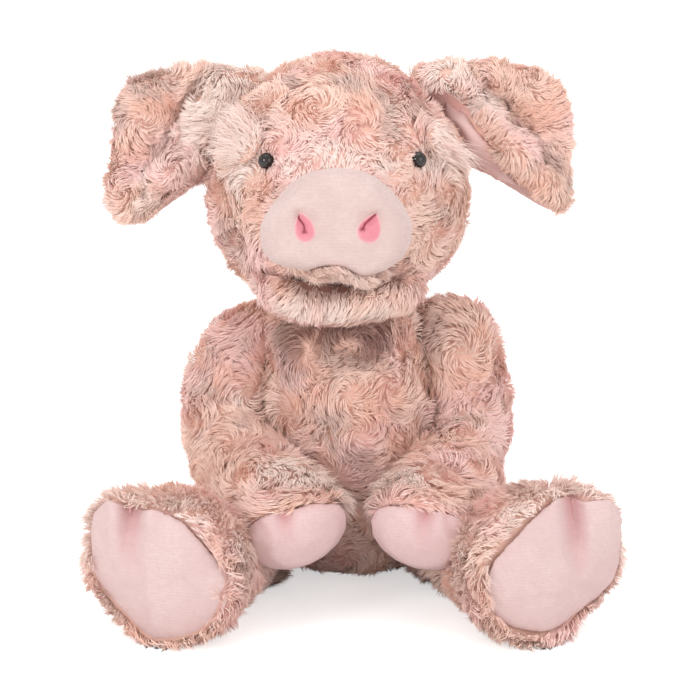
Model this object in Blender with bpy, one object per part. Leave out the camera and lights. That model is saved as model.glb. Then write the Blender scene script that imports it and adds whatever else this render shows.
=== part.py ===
"""A sitting plush pig: stuffed skins over fibre filling, velour snout, paws and soles, plastic eyes.

Metres, +Z up. The pig faces -Y and sits on the plane Z = 0, with the middle of its flat seat at the
origin. Its right side is at -X. Every stuffed form is a loft of rounded rings; limbs and ears are
trimmed by the body that they are sewn to, and keep a small gap to it.
"""
import math

import bmesh
import bpy
import numpy as np
from mathutils import Matrix, Vector

# Sewing: cloth walls and the gaps between separate pieces
PLUSH_WALL = 0.007
VELOUR_WALL = 0.0025
GAP = 0.0003
SEAT_CUT = 0.0005
OVERRUN = 0.020
TOOL_BLOCK = 0.400

# Torso, a pear with a round neck
TORSO_WIDTH = 0.108
TORSO_DEPTH = 0.112
TORSO_HEIGHT = 0.172
BELLY_HEIGHT = 0.060
NECK_RADIUS = 0.044
NECK_SIDE = -0.005
NECK_FORWARD = 0.012
NECK_PLUG_RADIUS = 0.016
NECK_PLUG_SINK = 0.014
POUCH_WIDTH = 0.072
POUCH_HEIGHT = 0.020
POUCH_LIFT = 0.0018

# Head, a round skull with a muzzle bulge
HEAD_WIDTH = 0.142
HEAD_DEPTH = 0.124
HEAD_HEIGHT = 0.137
HEAD_SIDE = -0.0085
HEAD_FORWARD = 0.026
HEAD_SINK = 0.0135
NOD_LIMIT_DEG = 12
MUZZLE_REACH = 0.019
MUZZLE_WIDTH = 0.100
MUZZLE_HEIGHT = 0.102
MUZZLE_RISE = 0.049

# Snout, nostrils and lower jaw
SNOUT_WIDTH = 0.079
SNOUT_HEIGHT = 0.060
SNOUT_DEPTH = 0.040
SNOUT_RISE = 0.058
SNOUT_TIP = 0.127
SNOUT_NOTCH = 0.004
NOSTRIL_SPACING = 0.034
NOSTRIL_WIDTH = 0.0100
NOSTRIL_HEIGHT = 0.0150
NOSTRIL_THICKNESS = 0.0030
NOSTRIL_LEAN_DEG = 22
JAW_WIDTH = 0.094
JAW_DEPTH = 0.068
JAW_HEIGHT = 0.040
JAW_FORWARD = 0.058
JAW_RISE = 0.0165

# Safety eyes and the long-pile patches beside them
EYE_RADIUS = 0.0058
EYE_DOME = 0.0050
EYE_SPACING = 0.0824
EYE_RISE = 0.0865
EYE_MIDDLE = -0.006
EYE_STEM_RADIUS = 0.0018
EYE_STEM_LENGTH = 0.0145
EYE_FLANGE = 0.0012
EYE_SINK = 0.0010
WASHER_RADIUS = 0.0065
WASHER_THICKNESS = 0.0016
WASHER_DEPTH = 0.0096
BROW_LENGTH = 0.034
BROW_HEIGHT = 0.027
BROW_THICKNESS = 0.008
BROW_OUT = 0.0135
BROW_UP = 0.0075

# Ears, leaves folded along their length
EAR_REACH = 0.094
EAR_SPAN = 0.090
EAR_THICKNESS = 0.018
EAR_FOLD = 0.010
EAR_FORWARD = 0.016
EAR_ROOT_OUT = 0.039
EAR_ROOT_RISE = {"right": 0.1255, "left": 0.1295}
EAR_EDGE_SHARE = {"right": 0.0, "left": 0.14}
EAR_FLAP_DEG = (-20, 30)
LINING_THICKNESS = 0.003
LINING_SET_BACK = 0.0078
LINING_WIDTH_SHARE = 0.45

# Arms, bent at the elbow, with velour hooves
ARM_THICKNESS = 0.051
ARM_REACH = 0.131
SHOULDER_MIDDLE = -0.0025
SHOULDER_OUT = 0.0605
SHOULDER_HEIGHT = 0.130
ARM_SWING_DEG = 35
ARM_YAW_DEG = {"right": 2.5, "left": -3.0}
CUFF_BACK = 0.024
CUFF_TILT_DEG = 42
PAW_CLEFT_DEPTH = 0.0035

# Legs, stretched forward, with upright feet and velour soles
LEG_THICKNESS = 0.054
LEG_LENGTH = 0.1575
LEG_MIDDLE = -0.001
HIP_OUT = 0.047
HIP_FORWARD = 0.008
LEG_SPLAY_DEG = 21.5
LEG_SWING_DEG = 25
FOOT_WIDTH = 0.088
FOOT_HEIGHT = 0.082
FOOT_ROLL_DEG = 17
SOLE_WIDTH = 0.076
SOLE_HEIGHT = 0.073
SOLE_DOME = 0.007
SOLE_SET_BACK = 0.0060
SOLE_CLEFT_DEPTH = 0.0045
SOLE_CLEFT_WIDTH = 0.008
THREAD_RADIUS = 0.0006

# Curly tail
TAIL_THICKNESS = 0.011
TAIL_CURL_RADIUS = 0.010
TAIL_HEIGHT = 0.048
TAIL_LENGTH = 0.020
TAIL_WAG_DEG = 15

# Smoothness
BODY_SEGMENTS = 24
HEAD_SEGMENTS = 24
LIMB_SEGMENTS = 16
SNOUT_SEGMENTS = 20
SOLE_SEGMENTS = 20
CORE_SEGMENTS = 10
BALL_SEGMENTS = 26
PATCH_SEGMENTS = 12
WASHER_SEGMENTS = 14
ROOT_STEPS = 4
SWING_STEPS = 6
TORSO_STEPS = (5, 4, 5)
HEAD_RINGS = 15
ARM_RINGS = 15
LEG_RINGS = 16
CORE_RINGS = 10
POUCH_SEGMENTS = 16

# Places and sizes as shares of the sizes above
HEAD_ROW_SHARES = (
    (0.000, 0.000, 0.000), (0.018, 0.370, 0.380), (0.070, 0.600, 0.610), (0.157, 0.810, 0.800),
    (0.266, 0.945, 0.930), (0.390, 1.000, 0.990), (0.522, 0.985, 1.000), (0.653, 0.905, 0.945),
    (0.777, 0.770, 0.830), (0.887, 0.575, 0.640), (0.962, 0.345, 0.400), (1.000, 0.000, 0.000))
SNOUT_ROW_SHARES = (
    (0.00, 0.00), (0.00, 0.55), (0.05, 0.80), (0.30, 0.95), (0.55, 1.00), (0.74, 0.98), (0.87, 0.91),
    (0.955, 0.77), (0.99, 0.52), (1.00, 0.00))
# Outward, forward and up from the shoulder, then the half sizes across and deep
ARM_ROW_SHARES = (
    (-0.175, 0.000, 0.145, 0.000, 0.000), (-0.166, 0.000, 0.130, 0.160, 0.160),
    (-0.138, 0.000, 0.090, 0.310, 0.330), (-0.080, 0.000, 0.015, 0.440, 0.450),
    (-0.020, 0.000, -0.065, 0.490, 0.500), (0.030, 0.008, -0.170, 0.505, 0.505),
    (0.060, 0.031, -0.310, 0.500, 0.510), (0.060, 0.137, -0.410, 0.500, 0.470),
    (0.008, 0.344, -0.465, 0.490, 0.390), (-0.092, 0.573, -0.510, 0.520, 0.390),
    (-0.170, 0.763, -0.560, 0.560, 0.415), (-0.215, 0.901, -0.600, 0.560, 0.420),
    (-0.240, 0.975, -0.612, 0.400, 0.300), (-0.252, 1.000, -0.618, 0.000, 0.000))
# Along the leg, then the half sizes and the height of its middle, each from shank (0) to foot (1)
LEG_ROW_SHARES = (
    (-0.130, 0.000, 0.000, 0.00), (-0.120, 0.600, 0.600, 0.00), (-0.060, 0.950, 0.950, 0.00),
    (0.050, 1.060, 0.920, 0.00), (0.220, 1.040, 0.880, 0.00), (0.420, 1.000, 0.860, 0.00),
    (0.580, 1.000, 0.900, 0.08), (0.690, 1.100, 1.080, 0.45), (0.780, 1.000, 1.000, 0.85),
    (0.860, 1.000, 1.000, 1.00), (0.930, 1.000, 1.000, 1.00), (0.975, 0.930, 0.930, 1.00),
    (0.992, 0.700, 0.700, 1.00), (0.992, 0.000, 0.000, 1.00))
# Outward and down from the top of the ear's root: the leading edge, then the trailing edge
EAR_ROW_SHARES = {
    "right": (((0.22, 0.62), (-0.10, 0.20)), ((0.34, 0.62), (-0.02, 0.00)),
              ((0.41, 0.67), (0.21, -0.04)), ((0.50, 0.75), (0.53, -0.04)),
              ((0.60, 0.83), (0.80, 0.04)), ((0.68, 0.89), (0.93, 0.24)),
              ((0.745, 0.935), (0.975, 0.51)), ((0.81, 0.95), (0.99, 0.75)),
              ((0.88, 0.955), (0.955, 0.90))),
    "left": (((0.20, 0.62), (-0.12, 0.20)), ((0.34, 0.62), (-0.02, 0.04)),
             ((0.42, 0.66), (0.20, -0.03)), ((0.51, 0.70), (0.46, -0.03)),
             ((0.61, 0.765), (0.70, 0.00)), ((0.71, 0.83), (0.86, 0.11)),
             ((0.785, 0.875), (0.945, 0.31)), ((0.85, 0.905), (1.00, 0.53)),
             ((0.91, 0.915), (0.985, 0.81)))}
# Across the ear from its leading edge: place, forward offset and half thickness
EAR_SECTION_SHARES = (
    (0.00, 0.05, 0.00), (0.05, 0.10, 0.30), (0.16, 0.20, 0.46), (0.30, 0.22, 0.50), (0.43, 0.05, 0.42),
    (0.54, -0.40, 0.28), (0.68, -0.45, 0.38), (0.84, -0.42, 0.38), (0.95, -0.40, 0.25), (1.00, -0.40, 0.00))
EAR_TIP_SLIM_SHARES = (1.0, 1.0, 1.0, 1.0, 1.0, 0.97, 0.90, 0.80, 0.45)
SOLE_STITCH_SHARES = (0.55, 0.62, 0.69, 0.76, 0.83)
PAW_STITCH_SHARES = (0.865, 0.880, 0.895, 0.910, 0.925)
TOE_SLIM_SHARE = 0.16
SOLE_CLEFT_START_SHARE = 0.15
SOLE_RING_SHARES = (0.0, 0.30, 0.55, 0.75, 0.90, 1.0)
TAIL_TAPER_SHARES = (0.0, 0.50, 0.50, 0.49, 0.47, 0.44, 0.41, 0.37, 0.33, 0.29, 0.24, 0.18, 0.0)

NECK_PIVOT_HEIGHT = TORSO_HEIGHT - NECK_RADIUS
HEAD_BOTTOM = TORSO_HEIGHT - HEAD_SINK
SIDES = {"right": -1, "left": 1}
UP = Vector((0, 0, 1))


def place(side_way, forward, height):
    """A point from its place toward +X, its place toward the viewer and its height."""
    return Vector((side_way, -forward, height))


NECK_PIVOT = place(NECK_SIDE, NECK_FORWARD, NECK_PIVOT_HEIGHT)


def smooth_rows(rows, count):
    """A number of rows read from a smooth curve through a short table of rows."""
    rows = np.array(rows, float)
    last = len(rows) - 1
    found = []
    for t in np.linspace(0, last, count):
        i = min(int(t), last - 1)
        f = t - i
        before, here = rows[max(i - 1, 0)], rows[i]
        after, beyond = rows[i + 1], rows[min(i + 2, last)]
        found.append(here + 0.5 * f * (after - before
                     + f * (2 * before - 5 * here + 4 * after - beyond
                            + f * (3 * here - before - 3 * after + beyond))))
    return np.array(found)


def bell(t):
    """A smooth hump, 1 in the middle and 0 from 1 outward."""
    return math.cos(0.5 * math.pi * t) ** 2 if abs(t) < 1 else 0.0


def mesh_of(bm, name):
    """A triangulated mesh with its faces turned outward."""
    bmesh.ops.triangulate(bm, faces=bm.faces[:])
    bmesh.ops.recalc_face_normals(bm, faces=bm.faces[:])
    mesh = bpy.data.meshes.new(name)
    bm.to_mesh(mesh)
    bm.free()
    return mesh


def loft(rings, grow=0):
    """A closed surface through rings of points, whose ends may be single points, then grown."""
    bm = bmesh.new()
    rows = [[bm.verts.new(point) for point in ring] for ring in rings]
    for low, high in zip(rows, rows[1:]):
        count = max(len(low), len(high))
        for i in range(count):
            corners = []
            for row, k in ((low, i), (low, i + 1), (high, i + 1), (high, i)):
                corner = row[k % len(row)]
                if corner not in corners:
                    corners.append(corner)
            bm.faces.new(corners)
    bmesh.ops.recalc_face_normals(bm, faces=bm.faces[:])
    bm.normal_update()
    if grow:
        moves = [vert.normal * grow * vert.calc_shell_factor() for vert in bm.verts]
        for vert, move in zip(bm.verts, moves):
            vert.co += move
    return mesh_of(bm, "loft")


def oval_ring(middle, across, deep, half_across, half_deep, segments):
    """Points round an oval."""
    turns = [2 * math.pi * i / segments for i in range(segments)]
    return [middle + across * half_across * math.cos(a) + deep * half_deep * math.sin(a) for a in turns]


def lathe(profile, middle, axis, segments, grow=0):
    """A turned solid: profile rows are the distance out along the axis and the radius."""
    axis = axis.normalized()
    # Turned by a part of a side, so that its corners don't fall on those of the form it cuts
    across = Matrix.Rotation(math.pi / segments / 2, 3, axis) @ axis.orthogonal().normalized()
    deep = axis.cross(across)
    rings = []
    for out, radius in profile:
        centre = middle + axis * out
        ring = oval_ring(centre, across, deep, radius, radius, segments) if radius else [centre]
        rings.append(ring)
    return loft(rings, grow)


def ellipsoid(middle, across, deep, out, half_sizes, segments, grow=0):
    """An ellipsoid on three square axes, with each half size grown."""
    rings = []
    steps = segments // 2
    half_sizes = [half + grow for half in half_sizes]
    for i in range(steps + 1):
        a = math.pi * i / steps
        centre = middle - out * half_sizes[2] * math.cos(a)
        if i in (0, steps):
            rings.append([centre])
        else:
            rings.append(oval_ring(centre, across, deep, half_sizes[0] * math.sin(a),
                                   half_sizes[1] * math.sin(a), segments))
    return loft(rings)


def ball(middle, radius, segments=BALL_SEGMENTS):
    """A faceted ball whose flats touch the given radius, so that a round thing turns freely inside."""
    outer = radius / math.cos(math.pi / segments) ** 2
    half_sizes = (outer, outer, outer)
    return ellipsoid(middle, Vector((1, 0, 0)), Vector((0, 1, 0)), Vector((0, 0, 1)), half_sizes, segments)


def material(name, colour, roughness):
    """One surface of the toy."""
    made = bpy.data.materials.new(name)
    made.use_nodes = True
    shader = made.node_tree.nodes["Principled BSDF"]
    shader.inputs["Base Color"].default_value = (*colour, 1)
    shader.inputs["Roughness"].default_value = roughness
    shader.inputs["Metallic"].default_value = 0
    return made


def add(name, mesh, finish):
    """A named piece of the toy."""
    piece = bpy.data.objects.new(name, mesh)
    bpy.context.collection.objects.link(piece)
    mesh.materials.clear()
    mesh.materials.append(finish)
    mesh.shade_smooth()
    mesh.set_sharp_from_angle(angle=math.radians(50))
    return piece


def tool(name, mesh):
    """A hidden shape that trims pieces."""
    shape = bpy.data.objects.new("tool_" + name, mesh)
    bpy.context.collection.objects.link(shape)
    shape.hide_render = True
    shape.display_type = "WIRE"
    return shape


def trim(piece, shape, operation="DIFFERENCE"):
    """Cut a piece by a tool, or keep what lies inside the tool."""
    cut = piece.modifiers.new("trim", "BOOLEAN")
    cut.object = shape
    cut.operation = operation
    cut.solver = "EXACT"


def hinge_to(pieces, name, pivot):
    """An empty on a joint's axis that carries the pieces moving with it."""
    empty = bpy.data.objects.new(name, None)
    bpy.context.collection.objects.link(empty)
    empty.location = pivot
    for piece in pieces:
        piece.parent = empty
        piece.matrix_parent_inverse = Matrix.Translation(-pivot)
    return empty


def turned(rings, pivot, axis, degrees, step=0):
    """A grown loft, turned about a hinge, each step a little larger so that no two coincide."""
    shape = loft(rings, GAP * (1 + 0.08 * step))
    turn = Matrix.Rotation(math.radians(degrees), 4, axis)
    shape.transform(Matrix.Translation(pivot) @ turn @ Matrix.Translation(-pivot))
    return shape


def slab(middle, across, deep, out, size):
    """A square block that fills the space in front of a plane, out along its third axis."""
    bm = bmesh.new()
    bmesh.ops.create_cube(bm, size=size)
    frame = Matrix((across, deep, out)).transposed().to_4x4()
    bm.transform(Matrix.Translation(middle + out * size / 2) @ frame)
    return mesh_of(bm, "slab")


def torso_rings(segments, seat_steps, chest_steps, dome_steps):
    """A broad seat and belly, a chest that narrows, and the round neck that the head turns on."""
    half_width = TORSO_WIDTH / 2
    half_depth = TORSO_DEPTH / 2
    rows = []
    for i in range(1, seat_steps + 1):
        a = 0.5 * math.pi * i / seat_steps
        height = (BELLY_HEIGHT + SEAT_CUT) * (1 - math.cos(a)) ** 1.3 - SEAT_CUT
        full = math.sin(a) ** 0.6
        rows.append((height, half_width * full, half_depth * full, 0))
    for i in range(1, chest_steps + 1):
        t = i / chest_steps
        slim = 0.5 - 0.5 * math.cos(math.pi * t)
        rows.append((BELLY_HEIGHT + (NECK_PIVOT_HEIGHT - BELLY_HEIGHT) * t,
                     half_width + (NECK_RADIUS - half_width) * slim,
                     half_depth + (NECK_RADIUS - half_depth) * slim, slim))
    for i in range(1, dome_steps):
        a = 0.5 * math.pi * i / dome_steps
        radius = NECK_RADIUS * math.cos(a)
        rows.append((NECK_PIVOT_HEIGHT + NECK_RADIUS * math.sin(a), radius, radius, 1))
    across, deep = Vector((1, 0, 0)), Vector((0, -1, 0))
    rings = [[place(0, 0, -SEAT_CUT)]]
    for height, wide, thick, lean in rows:
        middle = place(NECK_SIDE * lean, NECK_FORWARD * lean, height)
        rings.append(oval_ring(middle, across, deep, wide, thick, segments))
    rings.append([place(NECK_SIDE, NECK_FORWARD, TORSO_HEIGHT)])
    return rings


def muzzle_bulge(side_way, height):
    """How far the muzzle pushes the face forward."""
    across = bell((side_way - HEAD_SIDE) / (MUZZLE_WIDTH / 2))
    return MUZZLE_REACH * (across * bell((height - HEAD_BOTTOM - MUZZLE_RISE) / (MUZZLE_HEIGHT / 2))) ** 0.7


def head_rings(segments, count):
    """The skull from chin to crown, with the muzzle pushed forward."""
    rings = []
    for rise, wide, thick in smooth_rows(HEAD_ROW_SHARES, count):
        height = HEAD_BOTTOM + HEAD_HEIGHT * rise
        if wide < 0.001:
            rings.append([place(HEAD_SIDE, HEAD_FORWARD, height)])
            continue
        ring = []
        for i in range(segments):
            a = 2 * math.pi * i / segments
            side_way = HEAD_SIDE + HEAD_WIDTH / 2 * wide * math.cos(a)
            forward = HEAD_DEPTH / 2 * thick * math.sin(a)
            if forward > 0:
                forward += muzzle_bulge(side_way, height) * math.sin(a)
            ring.append(place(side_way, HEAD_FORWARD + forward, height))
        rings.append(ring)
    return rings


def face_point(side_way, height):
    """The point of the face at a place seen from the front."""
    rows = smooth_rows(HEAD_ROW_SHARES, 10 * len(HEAD_ROW_SHARES))
    rise = (height - HEAD_BOTTOM) / HEAD_HEIGHT
    wide = np.interp(rise, rows[:, 0], rows[:, 1]) * HEAD_WIDTH / 2
    thick = np.interp(rise, rows[:, 0], rows[:, 2]) * HEAD_DEPTH / 2
    turn = math.sqrt(1 - min(1, ((side_way - HEAD_SIDE) / wide) ** 2))
    forward = thick * turn + muzzle_bulge(side_way, height) * turn
    return place(side_way, HEAD_FORWARD + float(forward), height)


def face_normal(side_way, height):
    """The way the face looks at that point."""
    step = EYE_RADIUS / 4
    along = face_point(side_way + step, height) - face_point(side_way - step, height)
    up = face_point(side_way, height + step) - face_point(side_way, height - step)
    return along.cross(up).normalized()


def snout_outline(turn):
    """The snout's outline, narrower on top, with a notch between two round lobes below."""
    side_way = math.copysign(abs(math.cos(turn)) ** 0.86, math.cos(turn))
    height = math.copysign(abs(math.sin(turn)) ** 0.92, math.sin(turn))
    side_way *= 1 - 0.17 * max(height, 0) - 0.03 * height
    notch = SNOUT_NOTCH / (SNOUT_HEIGHT / 2) * bell(side_way / 0.32) if height < 0 else 0
    return side_way * SNOUT_WIDTH / 2, (height + notch) * SNOUT_HEIGHT / 2


def snout_rings(segments):
    """A short drum that swells, then closes in a soft round rim and a nearly flat face."""
    rings = []
    middle_height = HEAD_BOTTOM + SNOUT_RISE
    for depth, size in SNOUT_ROW_SHARES:
        forward = SNOUT_TIP - SNOUT_DEPTH * (1 - depth)
        if size == 0:
            rings.append([place(HEAD_SIDE, forward, middle_height)])
            continue
        outline = [snout_outline(2 * math.pi * i / segments) for i in range(segments)]
        rings.append([place(HEAD_SIDE + x * size, forward, middle_height + z * size) for x, z in outline])
    return rings


def limb_frame(points, i, reference):
    """Square axes of one ring: along the limb, deep toward the reference, and across."""
    after = points[min(i + 1, len(points) - 1)]
    before = points[max(i - 1, 0)]
    along = (after - before).normalized()
    deep = (reference - along * reference.dot(along)).normalized()
    return along, deep, along.cross(deep)


def arm_rows(side, count=ARM_RINGS):
    """Middle and half sizes of each arm ring, from shoulder to hoof."""
    sign = SIDES[side]
    shoulder = place(SHOULDER_MIDDLE + sign * SHOULDER_OUT, 0, SHOULDER_HEIGHT)
    yaw = Matrix.Rotation(math.radians(-sign * ARM_YAW_DEG[side]), 3, "Z")
    rows = []
    for out, forward, up, across, deep in smooth_rows(ARM_ROW_SHARES, count):
        step = place(sign * out * ARM_REACH, forward * ARM_REACH, up * ARM_REACH)
        rows.append((shoulder + yaw @ step, across * ARM_THICKNESS, deep * ARM_THICKNESS))
    return rows


def arm_rings(side, segments, count, cleft=True):
    """The arm, with the dent between the two toes on top of its hoof."""
    rows = arm_rows(side, count)
    points = [row[0] for row in rows]
    rings = []
    for i, (middle, half_across, half_deep) in enumerate(rows):
        if half_across < GAP:
            rings.append([middle])
            continue
        along, deep, across = limb_frame(points, i, place(0, 1, 1))
        ring = []
        for k in range(segments):
            a = 2 * math.pi * k / segments
            way = across * half_across * math.cos(a) + deep * half_deep * math.sin(a)
            if cleft:
                way -= deep * paw_dent(i / (count - 1)) * bell((a - math.pi / 2) / 0.6)
            ring.append(middle + way)
        rings.append(ring)
    return rings


def paw_dent(along_share):
    """How deep the cleft between the toes is, at a share of the way down the arm."""
    return PAW_CLEFT_DEPTH * bell((along_share - 0.90) / 0.16)


def paw_stitch(side):
    """Points along the bottom of the cleft between the toes, from the cuff to the tip."""
    count = 4 * ARM_RINGS
    rows = arm_rows(side, count)
    points = [row[0] for row in rows]
    found = []
    for share in PAW_STITCH_SHARES:
        i = round(share * (count - 1))
        deep = limb_frame(points, i, place(0, 1, 1))[1]
        found.append(rows[i][0] + deep * (rows[i][2] - paw_dent(share)))
    return found


def leg_axes(side):
    """The leg's way along the ground and the way across it toward +X."""
    splay = math.radians(LEG_SPLAY_DEG)
    along = place(SIDES[side] * math.sin(splay), math.cos(splay), 0)
    return along, UP.cross(along)


def foot_point(side, middle, wide_way, tall_way, roll):
    """A point of a section across the leg, rolled so that the toes lean outward."""
    across = leg_axes(side)[1]
    sign = SIDES[side]
    return (middle + across * (wide_way * math.cos(roll) + sign * tall_way * math.sin(roll))
            + UP * (tall_way * math.cos(roll) - sign * wide_way * math.sin(roll)))


def egg(turn, toe_slimness):
    """An oval outline that is slimmer at the toes, as shares of its half sizes."""
    return math.cos(turn) * (1 - toe_slimness * max(math.sin(turn), 0)), math.sin(turn)


def leg_middle(side, reach, height):
    """A point on the leg's middle line, at a distance from the hip."""
    hip = place(LEG_MIDDLE + SIDES[side] * HIP_OUT, HIP_FORWARD, 0)
    return hip + leg_axes(side)[0] * reach + UP * height


def leg_rings(side, segments, count):
    """A leg that lies on the ground, with an upright foot."""
    rings = []
    for reach, wide, tall, foot in smooth_rows(LEG_ROW_SHARES, count):
        foot = min(max(foot, 0), 1)
        full_wide = LEG_THICKNESS + (FOOT_WIDTH - LEG_THICKNESS) * foot
        full_tall = LEG_THICKNESS + (FOOT_HEIGHT - LEG_THICKNESS) * foot
        middle = leg_middle(side, reach * LEG_LENGTH, full_tall * max(tall, 0.85) / 2 - SEAT_CUT)
        if wide < 0.01:
            rings.append([middle])
            continue
        ring = []
        for k in range(segments):
            x, z = egg(2 * math.pi * k / segments, TOE_SLIM_SHARE * foot)
            ring.append(foot_point(side, middle, x * wide * full_wide / 2, z * tall * full_tall / 2,
                                   math.radians(FOOT_ROLL_DEG) * foot))
        rings.append(ring)
    return rings


def sole_point(side, turn, size, depth, grow=0):
    """A point of the domed sole: size runs from 0 in the middle to 1 at the rim."""
    x, z = egg(turn, TOE_SLIM_SHARE)
    cleft = bell(x * size * SOLE_WIDTH / 2 / SOLE_CLEFT_WIDTH)
    toward_toes = max(0, min(1, (z * size - SOLE_CLEFT_START_SHARE) / (1 - SOLE_CLEFT_START_SHARE)))
    notch = SOLE_CLEFT_DEPTH * cleft * toward_toes
    dome = SOLE_DOME * (1 - size ** 2.6)
    reach = LEG_LENGTH - SOLE_SET_BACK + dome - notch * min(1, 3 * (1 - size) + 0.5) - depth
    middle = leg_middle(side, reach, FOOT_HEIGHT / 2 - SEAT_CUT)
    tall = z * size * (SOLE_HEIGHT / 2 + grow) - notch * toward_toes
    return foot_point(side, middle, x * size * (SOLE_WIDTH / 2 + grow), tall, math.radians(FOOT_ROLL_DEG))


def sole_rings(side, segments):
    """A thin dish of velour, domed in front, with a cleft between the toes."""
    sizes = SOLE_RING_SHARES
    rings = []
    for ordered, depth in ((sizes, VELOUR_WALL), (sizes[::-1], 0)):
        for size in ordered:
            if size == 0:
                rings.append([sole_point(side, 0, 0, depth)])
            else:
                rings.append([sole_point(side, 2 * math.pi * k / segments, size, depth)
                              for k in range(segments)])
    return rings


def sole_room(side, segments):
    """The room that the sole takes in the front of the foot, open to the front."""
    rings = [[sole_point(side, 0, 0, VELOUR_WALL + GAP)]]
    for size, depth in [(size, VELOUR_WALL + GAP) for size in SOLE_RING_SHARES[1:]] + [(1, -OVERRUN)]:
        rings.append([sole_point(side, 2 * math.pi * k / segments, size, depth, GAP)
                      for k in range(segments)])
    rings.append([sole_point(side, 0, 0, -OVERRUN)])
    return rings


def ear_point(side, row, across, forward):
    """A point of the ear: across runs from its leading edge (0) to its trailing edge (1)."""
    (lead_out, lead_down), (trail_out, trail_down) = row
    out = lead_out + (trail_out - lead_out) * across
    down = lead_down + (trail_down - lead_down) * across
    return place(HEAD_SIDE + SIDES[side] * (EAR_ROOT_OUT + out * EAR_REACH), EAR_FORWARD + forward,
                 HEAD_BOTTOM + EAR_ROOT_RISE[side] - down * EAR_SPAN)


def ear_rings(side):
    """A leaf with a thick fold along its leading side and a thinner flap behind."""
    rows = EAR_ROW_SHARES[side]
    edge = EAR_EDGE_SHARE[side]
    rings = [[ear_point(side, rows[0], 0.5, 0)]]
    for number, row in enumerate(rows):
        slim = EAR_TIP_SLIM_SHARES[number]
        front, back = [], []
        for across, fold, half in EAR_SECTION_SHARES:
            at = edge + (1 - edge) * across
            middle = fold * EAR_FOLD * slim
            front.append(ear_point(side, row, at, middle + half * EAR_THICKNESS * slim))
            back.append(ear_point(side, row, at, middle - half * EAR_THICKNESS * slim))
        rings.append(front + back[-2:0:-1])
    last = rings[-1]
    rings.append([sum(last, Vector()) / len(last)])
    return rings


def lining_rings(side):
    """A thin strip of velour behind the ear's fold, from its root toward its tip."""
    rows = EAR_ROW_SHARES[side]
    rings = []
    for number, row in enumerate(rows[:-1]):
        slim = EAR_TIP_SLIM_SHARES[number]
        front = [ear_point(side, row, LINING_WIDTH_SHARE * k / 4, -LINING_SET_BACK * slim)
                 for k in range(5)]
        back = [ear_point(side, row, LINING_WIDTH_SHARE * k / 4, -LINING_SET_BACK * slim - LINING_THICKNESS)
                for k in range(5)]
        rings.append(front + back[::-1])
    for end in (0, -1):
        middle = sum(rings[end], Vector()) / len(rings[end])
        rings.insert(len(rings) if end else 0, [middle])
    return rings


def tail_path():
    """Points out from the body, then once round a rising curl."""
    root = place(0, -TORSO_DEPTH / 2, TAIL_HEIGHT)
    back = place(0, -1, 0)
    points = [root - back * TAIL_THICKNESS, root, root + back * TAIL_LENGTH / 2]
    middle = root + back * TAIL_LENGTH + UP * TAIL_CURL_RADIUS
    turns = len(TAIL_TAPER_SHARES) - len(points)
    for i in range(turns):
        a = 2.1 * math.pi * i / turns - math.pi / 2
        drift = TAIL_THICKNESS * 1.2 * i / turns
        points.append(middle + back * TAIL_CURL_RADIUS * math.cos(a) + UP * TAIL_CURL_RADIUS * math.sin(a)
                      + Vector((drift, 0, 0)))
    return points


def tail_rings(segments):
    """A tapered tube along the tail's path."""
    points = tail_path()
    rings = []
    for i, share in enumerate(TAIL_TAPER_SHARES):
        if share == 0:
            rings.append([points[i]])
            continue
        along, deep, across = limb_frame(points, i, Vector((1, 0, 0)))
        radius = share * TAIL_THICKNESS
        rings.append(oval_ring(points[i], across, deep, radius, radius, segments))
    return rings


def thread_rings(points, grow=0):
    """A short tight stitch through three or more points."""
    radius = THREAD_RADIUS + grow
    ends = [(points[i] - points[j]).normalized() * grow for i, j in ((0, 1), (-1, -2))]
    points = [points[0] + ends[0]] + points[1:-1] + [points[-1] + ends[1]]
    rings = [[points[0]]]
    for i in range(1, len(points) - 1):
        along, deep, across = limb_frame(points, i, Vector((1, 0, 0)))
        rings.append(oval_ring(points[i], across, deep, radius, radius, 6))
    rings.append([points[-1]])
    return rings


def eye_profile():
    """The eye's dome, its flange and its stem, out along its axis."""
    dome = [(EYE_DOME * math.cos(a), EYE_RADIUS * math.sin(a))
            for a in [math.pi / 2 * i / 4 for i in range(5)]]
    dome[0] = (EYE_DOME, 0)
    return dome + [(-EYE_FLANGE, EYE_RADIUS), (-EYE_FLANGE, EYE_STEM_RADIUS),
                   (-EYE_STEM_LENGTH, EYE_STEM_RADIUS), (-EYE_STEM_LENGTH, 0)]


def washer_mesh(middle, axis, grow=0):
    """A round lock washer on the eye's stem."""
    axis = axis.normalized()
    across = axis.orthogonal().normalized()
    deep = axis.cross(across)
    bm = bmesh.new()
    outer, inner = WASHER_RADIUS + grow, EYE_STEM_RADIUS + GAP - grow
    rows = []
    for out, radius in ((-grow, inner), (-grow, outer), (WASHER_THICKNESS + grow, outer),
                        (WASHER_THICKNESS + grow, inner)):
        centre = middle - axis * out
        ring = oval_ring(centre, across, deep, radius, radius, WASHER_SEGMENTS)
        rows.append([bm.verts.new(point) for point in ring])
    for row, following in zip(rows, rows[1:] + rows[:1]):
        for i in range(WASHER_SEGMENTS):
            j = (i + 1) % WASHER_SEGMENTS
            bm.faces.new((row[i], row[j], following[j], following[i]))
    return mesh_of(bm, "washer")


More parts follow.
